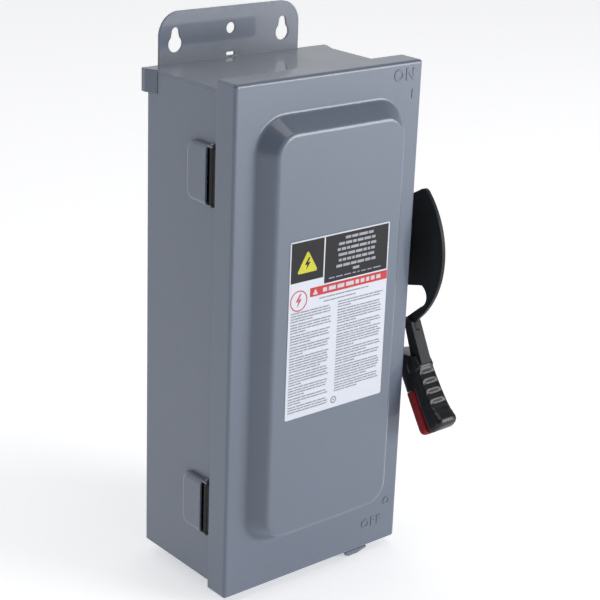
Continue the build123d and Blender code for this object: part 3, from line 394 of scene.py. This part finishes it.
def dress(slot_name, made):
    """Puts a finish on every CAD part whose slot it is."""
    material, _, shader = made
    finishes[slot_name] = material
    parts = [row["node"] for row in frame["record"]["subparts"] if row["material_slot"] == slot_name]
    for node in parts:
        data = nodes[node].data
        data.materials.clear()
        data.materials.append(material)
    print(slot_name, "on", len(parts), "parts")
    return shader


def coat(slot_name, color, roughness, **numbers):
    """Makes a finish under its slot's name and dresses the slot with it."""
    return dress(slot_name, finish(slot_name, color, roughness, **numbers))


def gloss(shader, coat_weight, coat_roughness, specular):
    """A clear skin over a finish, and how strongly the finish under it reflects."""
    shader.inputs["Coat Weight"].default_value = coat_weight
    shader.inputs["Coat Roughness"].default_value = coat_roughness
    shader.inputs["Specular IOR Level"].default_value = specular


# %% [markdown]
# ## Painted steel
#
# The box and cover are sprayed with grey enamel, slightly blue, baked to a soft gloss. The relief is orange
# peel: bumps about a millimetre wide and a few microns high. Handling polishes the edges a little paler, and
# a trace of dust lies on the top. The clear topmost skin of the enamel is a thin coat with its own gloss.

# %% Enamel
for slot_name in ("box_paint", "cover_paint"):
    paint = coat(slot_name, (0.130, 0.158, 0.212), 0.40, drift=0.025, cloud_scale=9.0, grain_scale=900.0,
                 relief=0.004, worn_color=(0.25, 0.28, 0.33), wear=0.35, edge_width=0.0011, dusty=0.05,
                 rough_drift=0.07)
    gloss(paint, 0.55, 0.06, 0.35)

# %% [markdown]
# ## Lever, hinges and plated parts
#
# The lever's guard and neck are black enamel over steel. The hinge leaves are given a near-black colour,
# a painted shade that keeps the slot of each hinge pocket dark where the leaves show in it. The mechanism
# is zinc plated, which is bright but uneven, with a faint bluish passivation. The shaft and the bronze
# bushing are turned, and rolling leaves fine lines in the copper blades. The lugs are tumbled aluminium.

# %% Black steel and plated steel
guard = coat("lever_black", (0.0215, 0.0245, 0.0265), 0.46, drift=0.10, grain_scale=1100.0, relief=0.010,
             worn_color=(0.11, 0.115, 0.12), wear=0.55, edge_width=0.0008, dusty=0.04)
gloss(guard, 0.05, 0.22, 0.14)
# The hinge leaves' near-black colour is painted shade for the dark slot in each hinge pocket.
coat("hinge_steel", (0.022, 0.022, 0.024), 0.42, metallic=0.6, grain_scale=2200.0,
     worn_color=(0.16, 0.15, 0.14), wear=0.8, edge_width=0.0005)
coat("zinc_steel", (0.60, 0.61, 0.60), 0.34, metallic=1.0, drift=0.10, cloud_scale=60.0, grain_scale=2600.0,
     relief=0.012, worn_color=(0.78, 0.78, 0.76), wear=0.7, edge_width=0.0005, dusty=0.05, rough_drift=0.22)
coat("spring_steel", (0.30, 0.30, 0.31), 0.30, metallic=1.0, cloud_scale=80.0, brushed="z", relief=0.010)
coat("shaft_steel", (0.48, 0.47, 0.46), 0.28, metallic=1.0, cloud_scale=50.0, brushed="y", relief=0.012,
     worn_color=(0.7, 0.69, 0.67), wear=0.6)

# %% Bronze, copper and aluminium
coat("bronze", (0.46, 0.32, 0.16), 0.36, metallic=1.0, drift=0.18, cloud_scale=90.0, brushed="y",
     relief=0.010, worn_color=(0.72, 0.55, 0.30), wear=0.6)
coat("copper", (0.66, 0.33, 0.20), 0.30, metallic=1.0, drift=0.20, cloud_scale=70.0, brushed="z",
     relief=0.012, worn_color=(0.90, 0.55, 0.38), wear=0.7, edge_width=0.0004, rough_drift=0.25)
coat("lug_aluminium", (0.66, 0.67, 0.68), 0.42, metallic=1.0, drift=0.08, cloud_scale=80.0,
     grain_scale=3200.0, relief=0.020, worn_color=(0.85, 0.85, 0.85), wear=0.6, edge_width=0.0005)

# %% [markdown]
# ## Plastics
#
# The grip is glossy black plastic with a dark red insert. The switch bases are black phenolic, pressed from
# powder, so tiny paler specks show in the face, and the arc chutes are a grey glass-filled moulding. The
# line shield is clear polycarbonate: it keeps a plain transmission and only its roughness changes.

# %% Plastics
FLECK_SCALE = 1500.0
grip_black = coat("grip_black", (0.0095, 0.0100, 0.0120), 0.34, drift=0.15, cloud_scale=45.0,
                  grain_scale=1600.0, relief=0.006, worn_color=(0.05, 0.05, 0.055), wear=0.3,
                  edge_width=0.0009, rough_drift=0.10)
gloss(grip_black, 0.12, 0.14, 0.35)
coat("grip_red", (0.31, 0.013, 0.015), 0.30, drift=0.12, cloud_scale=45.0, grain_scale=1600.0, relief=0.006,
     worn_color=(0.42, 0.05, 0.05), wear=0.3, edge_width=0.0008)
for slot_name, tone, speck, rough in (
        ("insulator_black", (0.020, 0.020, 0.021), (0.075, 0.065, 0.055), 0.40),
        ("insulator_grey", (0.105, 0.108, 0.112), (0.20, 0.20, 0.20), 0.52)):
    made = finish(slot_name, tone, rough, drift=0.14, cloud_scale=40.0, grain_scale=1900.0, relief=0.014,
                  worn_color=speck, wear=0.5, edge_width=0.0006, dusty=0.08)
    material, tree, shader = made
    under = shader.inputs["Base Color"].links[0].from_socket
    flecks = add_node(tree, "ShaderNodeTexVoronoi", {"Scale": FLECK_SCALE})
    spot = add_node(tree, "ShaderNodeTexCoord")
    wire(tree, spot.outputs["Object"], flecks.inputs["Vector"])
    fleck_mask = add_node(tree, "ShaderNodeMapRange", {"From Min": 0.16, "From Max": 0.10, "To Max": 0.55})
    wire(tree, flecks.outputs["Distance"], fleck_mask.inputs["Value"])
    wire(tree, mix_colors(tree, fleck_mask.outputs[0], under, speck), shader.inputs["Base Color"])
    dress(slot_name, made)
shield = coat("clear_guard", (0.90, 0.93, 0.94), 0.07, drift=0.02, cloud_scale=30.0, grain_scale=700.0,
              relief=0.004, rough_drift=0.06)
shield.inputs["Transmission Weight"].default_value = 0.94
shield.inputs["IOR"].default_value = 1.58

# %% [markdown]
# ## The printed label
#
# The label is white vinyl, faintly cockled where it was rubbed down, so it gets a broad, low relief. What is
# printed on it is our own plain layout: a dark heading with pale bars for words, a generic hazard triangle
# with a bolt, a red band, and two columns of short grey dashes in place of small print. The ink is real,
# very thin geometry, so each mark stays crisp at any distance and survives export.

# %% Vinyl and inks
coat("label", (0.63, 0.655, 0.725), 0.36, drift=0.015, cloud_scale=25.0, grain_scale=120.0, relief=0.05,
     rough_drift=0.08)
LABEL_LOW, LABEL_HIGH = (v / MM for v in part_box("label_plate"))
INK_LIFT = 0.01
INK_BACK = LABEL_LOW.y - INK_LIFT
INK_DEPTH = 0.05


def ink(name, color, roughness=0.34):
    """A printing ink: nearly flat colour, thinner in places where the screen left less of it."""
    material, _, shader = finish(name, color, roughness, drift=0.10, cloud_scale=60.0, grain_scale=2600.0,
                                 relief=0.003, rough_drift=0.06)
    shader.inputs["Specular IOR Level"].default_value = 0.22
    return material


INK_COLORS = {"black": (0.016, 0.016, 0.019), "white": (0.56, 0.57, 0.62), "yellow": (0.58, 0.56, 0.045),
              "red": (0.55, 0.045, 0.05), "grey": (0.30, 0.32, 0.385), "pale": (0.36, 0.37, 0.41),
              "rose": (0.60, 0.12, 0.14)}
inks = {name: ink("ink_" + name, color) for name, color in INK_COLORS.items()}
print("label from", [round(v, 1) for v in LABEL_LOW], "to", [round(v, 1) for v in LABEL_HIGH])

# %% [markdown]
# ## Stamping flat marks
#
# All the print is made from a few small stamps. A stamp is a flat plane, shaped in edit mode, then extruded
# to the thickness of ink. Copies of it are stretched and moved in their own mesh, and joined into one piece
# per ink layer.

# %% Stamp helpers
LAYER_GAP = 0.06


def corner_stamp(name, corners, rounding=0.0):
    """A flat stamp lying in X and Z, given by its corners in millimetres, extruded to an ink's thickness."""
    deselect()
    bpy.ops.mesh.primitive_circle_add(vertices=len(corners), radius=1.0, fill_type="NGON")
    stamp = bpy.context.object
    stamp.name = name
    for vertex, (x, z) in zip(stamp.data.vertices, corners):
        vertex.co = (x * MM, 0, z * MM)
    bpy.ops.object.mode_set(mode="EDIT")
    bpy.ops.mesh.select_all(action="SELECT")
    if rounding:
        bpy.ops.mesh.bevel(offset=rounding * MM, segments=4, affect="VERTICES", clamp_overlap=True)
        bpy.ops.mesh.select_all(action="SELECT")
    bpy.ops.mesh.extrude_region_move(TRANSFORM_OT_translate={"value": (0, -INK_DEPTH * MM, 0)})
    bpy.ops.mesh.select_all(action="SELECT")
    bpy.ops.mesh.normals_make_consistent(inside=False)
    bpy.ops.object.mode_set(mode="OBJECT")
    return stamp


def press(stamp, center_x, center_z, width=1.0, height=1.0, layer=0):
    """A copy of a stamp, stretched and moved onto the label in its own mesh."""
    mark = stamp.copy()
    mark.data = stamp.data.copy()
    bpy.context.scene.collection.objects.link(mark)
    place = Vector((center_x * MM, (INK_BACK - layer * LAYER_GAP) * MM, center_z * MM))
    mark.data.transform(Matrix.Translation(place) @ Matrix.Diagonal((width, 1, height, 1)))
    return mark


def join_marks(name, marks, color, body="cover"):
    """Joins pressed marks into one piece, gives it an ink and hands it to its body."""
    deselect()
    for mark in marks:
        mark.select_set(True)
    bpy.context.view_layer.objects.active = marks[0]
    if len(marks) > 1:
        bpy.ops.object.join()
    piece = bpy.context.view_layer.objects.active
    piece.name = name
    piece.data.materials.clear()
    piece.data.materials.append(inks[color])
    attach(piece, body)
    print(name, len(piece.data.polygons), "faces")
    return piece


def discard(*stamps):
    for stamp in stamps:
        bpy.data.objects.remove(stamp, do_unlink=True)


unit_bar = corner_stamp("unit_bar", [(-0.5, -0.5), (0.5, -0.5), (0.5, 0.5), (-0.5, 0.5)])

# %% [markdown]
# ## The heading
#
# Two dark fields with a thin white gap stand at the top. The bars that stand for the heading's words are cut
# from one unit bar, stretched to each word's width.

# %% Heading and red band
HEADING_TOP = 80.8
HAZARD_X, HEADING_X = -28.9, 16.1
BAND_Z = 42.4
SHORTEST_WORD, LONGEST_WORD, LEAST_REMAINDER = 2.2, 8.4, 0.6

heading = []
for field_x, field_width, field_low in ((HAZARD_X, 29.0, 51.9), (HEADING_X, 58.6, 46.8)):
    field_z, field_height = (HEADING_TOP + field_low) / 2, HEADING_TOP - field_low
    heading.append(press(unit_bar, field_x, field_z, field_width, field_height))
join_marks("label_heading", heading, "black")
join_marks("label_red_band", [press(unit_bar, 10.3, BAND_Z, 71.8, 6.6)], "red")


def word_bars(seed, rows, height, gap=0.9, layer=1):
    """Bars for words: each row is its middle in X, its Z and its whole width, all in millimetres."""
    draw = random.Random(seed)
    marks = []
    for row_middle, row_z, row_width in rows:
        at = row_middle - row_width / 2
        stop = row_middle + row_width / 2
        while at < stop - LEAST_REMAINDER:
            width = min(draw.uniform(SHORTEST_WORD, LONGEST_WORD), stop - at)
            marks.append(press(unit_bar, at + width / 2, row_z, width, height, layer))
            at += width + gap
    return marks


heading_rows = [(18, 77.3, 26), (16, 73.4, 34), (16, 69.4, 36), (16, 65.4, 34), (16, 61.4, 33),
                (16, 57.3, 37), (16, 53.4, 6)]
join_marks("label_heading_bars", word_bars(11, heading_rows, 2.0), "pale")
join_marks("label_heading_footer", word_bars(12, [(16, 49.8, 50)], 0.9, 1.4), "grey")

# %% [markdown]
# ## Marks
#
# The hazard triangle is the common public one: yellow, rounded, with a black bolt. A pale triangle stands in
# the red band, and a rose bolt in an open ring stands beside it. All are drawn from their corners.

# %% Triangles, bolts and rings
ROSE_X, ROSE_Z = -35.6, 38.4
SEAL_X, SEAL_Z = 0.4, -44.2
BAR_OVERLAP = 1.04
BOLT = [(0.9, 5.2), (-3.0, -0.7), (-0.4, -0.7), (-1.5, -5.2), (2.9, 1.2), (0.3, 1.2), (2.6, 5.2)]
triangle = corner_stamp("triangle", [(-9.4, -7.4), (9.4, -7.4), (0, 8.8)], 2.2)
bolt = corner_stamp("bolt", BOLT)
join_marks("label_hazard_triangle", [press(triangle, HAZARD_X, 65.4, layer=1)], "yellow")
join_marks("label_hazard_bolt", [press(bolt, HAZARD_X, 64.4, 0.85, 0.85, layer=2)], "black")
join_marks("label_band_triangle", [press(triangle, -20.9, 42.3, 0.27, 0.27, layer=1)], "white")
join_marks("label_band_bars", word_bars(13, [(13, BAND_Z, 54)], 3.0, 1.5), "white")


def ring_marks(center_x, center_z, radius, thickness, spokes, layer=0):
    """Short bars round a circle, each turned to follow it."""
    marks = []
    bar_length = 2 * math.pi * radius / spokes * BAR_OVERLAP
    for step in range(spokes):
        angle = 2 * math.pi * step / spokes
        mark = press(unit_bar, 0, 0, bar_length, thickness, layer)
        turn = Matrix.Rotation(math.pi / 2 + angle, 4, "Y").inverted()
        shift = Vector((center_x + radius * math.cos(angle), 0, center_z + radius * math.sin(angle))) * MM
        mark.data.transform(Matrix.Translation(shift) @ turn)
        marks.append(mark)
    return marks


join_marks("label_rose_ring", ring_marks(ROSE_X, ROSE_Z, 7.2, 0.9, 20), "rose")
join_marks("label_rose_bolt", [press(bolt, ROSE_X, ROSE_Z, 0.95, 0.95)], "rose")
seal = ring_marks(SEAL_X, SEAL_Z, 2.3, 0.9, 14)
seal.append(press(unit_bar, SEAL_X, SEAL_Z, 1.3, 1.3))
join_marks("label_seal", seal, "grey")

# %% [markdown]
# ## Small print
#
# Two columns of dashes, seeded so that they come out the same each time. A paragraph ends in a short line
# and a slightly wider gap, which is what makes a block of dashes read as small print.

# %% Small print
LINE_STEP = 1.98
PARAGRAPH_STEP = 1.2


def column(seed, left, right, top, bottom, start_rows):
    """Rows for one column of small print, with paragraphs that end in a short line."""
    draw = random.Random(seed)
    rows, at = [], top
    left_in_paragraph = start_rows
    while at > bottom:
        ends = left_in_paragraph == 1
        stop = left + (right - left) * (draw.uniform(0.3, 0.8) if ends else draw.uniform(0.93, 1.0))
        rows.append(((left + stop) / 2, at, stop - left))
        left_in_paragraph -= 1
        at -= LINE_STEP * (PARAGRAPH_STEP if ends else 1.0)
        if left_in_paragraph == 0:
            left_in_paragraph = draw.randint(3, 6)
    return rows


small_print = column(21, -42.2, -5.4, 29.6, -46.0, 4) + column(22, 0.6, 43.0, 30.6, -39.6, 3)
small_print += [(6, 36.6, 46), (2, 33.6, 30)]
join_marks("label_small_print", word_bars(23, small_print, 0.95, 0.55, layer=0), "grey")
discard(unit_bar, triangle, bolt)

# %% [markdown]
# ## Position marks pressed into the cover
#
# ON, OFF and the strokes that belong to them are raised from the cover's flat border by the press tool. Text
# is made as a curve with a little depth and a bevel, turned into a mesh, merged so that it closes, and only
# then given its place.

# %% Raised position marks
COVER_FACE = -107.25
ROOT_DEPTH = 0.10
SIZE_PER_HEIGHT = 1.36


def raised_text(name, body_text, center_x, center_z, height):
    """Letters that stand a little out of the border, in the cover's own paint."""
    deselect()
    bpy.ops.object.text_add()
    letters = bpy.context.object
    letters.name = name
    letters.data.body = body_text
    letters.data.align_x, letters.data.align_y = "CENTER", "CENTER"
    letters.data.size = height * SIZE_PER_HEIGHT * MM
    letters.data.space_character = 1.22
    letters.data.extrude = 0.14 * MM
    letters.data.offset = 0.12 * MM
    letters.data.bevel_depth = 0.18 * MM
    letters.data.bevel_resolution = 2
    letters.data.resolution_u = 6
    bpy.ops.object.convert(target="MESH")
    letters = bpy.context.object
    bpy.ops.object.mode_set(mode="EDIT")
    bpy.ops.mesh.select_all(action="SELECT")
    bpy.ops.mesh.remove_doubles(threshold=0.002 * MM)
    bpy.ops.mesh.normals_make_consistent(inside=False)
    bpy.ops.object.mode_set(mode="OBJECT")
    upright = Matrix.Rotation(math.radians(90), 4, "X")
    place = Matrix.Translation(Vector((center_x, COVER_FACE - ROOT_DEPTH, center_z)) * MM)
    letters.data.transform(place @ upright)
    letters.data.materials.clear()
    letters.data.materials.append(finishes["cover_paint"])
    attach(letters, "cover")
    return letters


raised_text("mark_on", "ON", 66.0, 181.8, 8.6)
raised_text("mark_stroke", "I", 74.6, 167.5, 6.4)
raised_text("mark_ring", "O", 73.0, -153.0, 6.4)
raised_text("mark_off", "OFF", 58.0, -167.0, 7.4)
print("raised marks stand on Y =", COVER_FACE, "mm")

# %% [markdown]
# ## The grip
#
# The real grip is two mouldings: a black one with finger ridges down its front and a soft nose at its lower
# end, and a dark red insert behind its lower half. Carving ridges out of a block leaves hard edges, so we
# sweep instead: a rounded rectangle is extruded down the grip's line in short steps, and every step gets its
# own width, front and rear. We work upright at the origin, then tilt the finished piece onto its lever.

# %% Sweeping a bar down the grip's line
GRIP_TILT = -35.0
GRIP_TOP, GRIP_LENGTH = 81.0, 74.0
TOP_HALF_WIDTH, WIDENING = 8.2, 2.8
SHARP_ANGLE, SMOOTH_ANGLE = math.radians(42), math.radians(38)
pivot = middle("handle_shaft")
grip_place = (Matrix.Translation((middle("lever_neck").x, pivot.y, pivot.z))
              @ Matrix.Rotation(math.radians(GRIP_TILT), 4, "X"))


def swept_bar(name, stations, squareness=4.0, sides=56):
    """Extrudes a squared circle through stations of (along, half width, front, rear), in millimetres."""
    deselect()
    bpy.ops.mesh.primitive_circle_add(vertices=sides, radius=0.5, fill_type="NGON")
    piece = bpy.context.object
    piece.name = name
    for vertex in piece.data.vertices:
        x, y = vertex.co.x / 0.5, vertex.co.y / 0.5
        reach = (abs(x) ** squareness + abs(y) ** squareness) ** (1 / squareness)
        vertex.co.xy = Vector((x, y)) * 0.5 / reach
    along, half_width, front, rear = stations[0]
    bpy.ops.object.mode_set(mode="EDIT")
    bpy.ops.mesh.select_all(action="SELECT")
    bpy.ops.transform.resize(value=(2 * half_width * MM, (front - rear) * MM, 1),
                             center_override=(0, 0, 0))
    bpy.ops.transform.translate(value=(0, -(front + rear) / 2 * MM, -along * MM))
    for (s0, w0, f0, r0), (s1, w1, f1, r1) in zip(stations, stations[1:]):
        bpy.ops.mesh.extrude_region_move(TRANSFORM_OT_translate={"value": (0, 0, (s0 - s1) * MM)})
        bpy.ops.transform.resize(value=(w1 / w0, (f1 - r1) / (f0 - r0), 1),
                                 center_override=(0, -(f0 + r0) / 2 * MM, -s1 * MM))
        bpy.ops.transform.translate(value=(0, ((f0 + r0) - (f1 + r1)) / 2 * MM, 0))
    bpy.ops.mesh.select_all(action="SELECT")
    bpy.ops.mesh.normals_make_consistent(inside=False)
    bpy.ops.object.mode_set(mode="OBJECT")
    return piece


def choose(piece):
    """Makes one piece the only selected and the active one."""
    deselect()
    piece.select_set(True)
    bpy.context.view_layer.objects.active = piece


def apply_modifier(piece, kind, **settings):
    """Adds a modifier with its settings and applies it at once."""
    choose(piece)
    modifier = piece.modifiers.new(kind.lower(), kind)
    for name, value in settings.items():
        setattr(modifier, name, value)
    bpy.ops.object.modifier_apply(modifier=modifier.name)


def grip_half_width(along):
    """The grip widens evenly from its top to its nose."""
    return TOP_HALF_WIDTH + (along - GRIP_TOP) / GRIP_LENGTH * WIDENING


# %% [markdown]
# The front line of the black moulding is nearly straight, then flares forward into the nose and rounds
# under. The finger ridges stand in a shallow hollow between two smooth borders, so they are pushed into the
# swept shape afterwards: each point near the middle of the front moves back between crests, and keeps its
# place at a crest or at the borders.

# %% Front line and finger ridges
RIDGE_FIRST, RIDGE_LAST, RIDGE_STEP, RIDGE_DEPTH = 105.0, 137.0, 8.0, 1.7
CARVE_BEFORE_Y, RIDGE_SHARE = 8.0, 0.80
COLLAR_TOP, COLLAR_END, COLLAR_HEIGHT = 98.0, 104.2, 0.45
NOSE_FROM, NOSE_NARROWING = 147.0, 0.075
MOULDING_START, MOULDING_END, MOULDING_REAR = 80.0, 152.95, -13.9
LONG_STEP, SHORT_STEP, SHORT_STEPS_FROM = 4.0, 0.8, 96
FRONT_LINE = [(80.0, -0.8), (97.5, -0.8), (98.6, 0.3), (103.4, 0.3), (104.8, -0.5), (112.0, -0.9),
              (124.0, -1.1), (134.0, -0.7), (139.0, 0.2), (143.0, 1.6), (146.0, 2.6), (148.4, 2.4),
              (150.2, 1.1), (151.6, -0.9), (152.5, -3.2), (152.9, -5.2)]


def follow(line, along):
    """The height of a line of points at a distance, smoothed at each point."""
    for (s0, h0), (s1, h1) in zip(line, line[1:]):
        if along <= s1:
            share = (along - s0) / (s1 - s0)
            return h0 + (h1 - h0) * share * share * (3 - 2 * share)
    return line[-1][1]


front_stations = []
along = MOULDING_START
while along < MOULDING_END:
    collar = COLLAR_HEIGHT if COLLAR_TOP < along < COLLAR_END else 0.0
    narrow = max(0.0, along - NOSE_FROM) ** 2 * NOSE_NARROWING
    half_width = grip_half_width(along) + collar - narrow
    front_stations.append((along, half_width, follow(FRONT_LINE, along), MOULDING_REAR + narrow * 0.2))
    along += SHORT_STEP if along > SHORT_STEPS_FROM else LONG_STEP
print(len(front_stations), "stations down the black moulding")


def carve_ridges(piece):
    """Hollows the middle of the front between the crests of the ridges."""
    for vertex in piece.data.vertices:
        along = -vertex.co.z / MM
        if not RIDGE_FIRST < along < RIDGE_LAST or vertex.co.y > CARVE_BEFORE_Y * MM:
            continue
        across = min(1.0, abs(vertex.co.x / MM) / (RIDGE_SHARE * grip_half_width(along)))
        wave = 0.5 - 0.5 * math.cos(2 * math.pi * (along - RIDGE_FIRST) / RIDGE_STEP)
        vertex.co.y += RIDGE_DEPTH * MM * wave * (1 - across ** 4)


# %% Black moulding
UPPER_REAR_LINE = ((78.0, -21.8), (84.0, -22.0), (95.0, -22.6), (106.0, -23.2), (117.4, -23.4))
UPPER_FRONT, UPPER_INSET = -5.0, 0.05
TOP_CUT_PLACE, TOP_CUT_NORMAL = (0, 0.8 * MM, -95.0 * MM), (0, -0.4926, 0.8703)

grip = swept_bar("grip_moulding", front_stations)
carve_ridges(grip)
upper_stations = [(s, grip_half_width(s) - UPPER_INSET, UPPER_FRONT, rear) for s, rear in UPPER_REAR_LINE]
upper = swept_bar("upper_block", upper_stations, squareness=5.0)
apply_modifier(grip, "BOOLEAN", operation="UNION", object=upper, solver="EXACT")
discard(upper)
choose(grip)
bpy.ops.object.mode_set(mode="EDIT")
bpy.ops.mesh.select_all(action="SELECT")
bpy.ops.mesh.bisect(plane_co=TOP_CUT_PLACE, plane_no=TOP_CUT_NORMAL, use_fill=True, clear_outer=True)
bpy.ops.object.mode_set(mode="OBJECT")
apply_modifier(grip, "BEVEL", width=0.7 * MM, segments=3, limit_method="ANGLE", angle_limit=SHARP_ANGLE)
grip.data.transform(grip_place)
bpy.ops.object.shade_smooth_by_angle(angle=SMOOTH_ANGLE)
grip.data.materials.clear()
grip.data.materials.append(finishes["grip_black"])
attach(grip, "handle")
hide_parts("grip_front")
print("grip_moulding", len(grip.data.polygons), "faces")

# %% [markdown]
# ## The red insert
#
# The insert is the back of the grip's lower half. It stands a hair inside the black moulding on both sides,
# which leaves the parting line that two mouldings always show.

# %% Red insert
PARTING = -13.98
INSERT_LINE = ((117.65, 1.202, -22.9), (118.3, 0.45, -23.3), (122.0, 0.4, -23.4), (128.0, 0.4, -23.4),
               (136.0, 0.4, -23.4), (144.0, 0.4, -23.4), (148.0, 0.4, -23.4), (150.6, 0.7, -22.6),
               (152.0, 1.5, -21.2), (152.7, 2.8, -19.6))
insert_stations = [(s, grip_half_width(s) - inset, PARTING, rear) for s, inset, rear in INSERT_LINE]
insert = swept_bar("grip_insert", insert_stations, squareness=6.0)
apply_modifier(insert, "BEVEL", width=0.4 * MM, segments=2, limit_method="ANGLE", angle_limit=SHARP_ANGLE)
insert.data.transform(grip_place)
bpy.ops.object.shade_smooth_by_angle(angle=SMOOTH_ANGLE)
insert.data.materials.clear()
insert.data.materials.append(finishes["grip_red"])
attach(insert, "handle")
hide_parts("grip_rear")
print("grip_insert", len(insert.data.polygons), "faces")
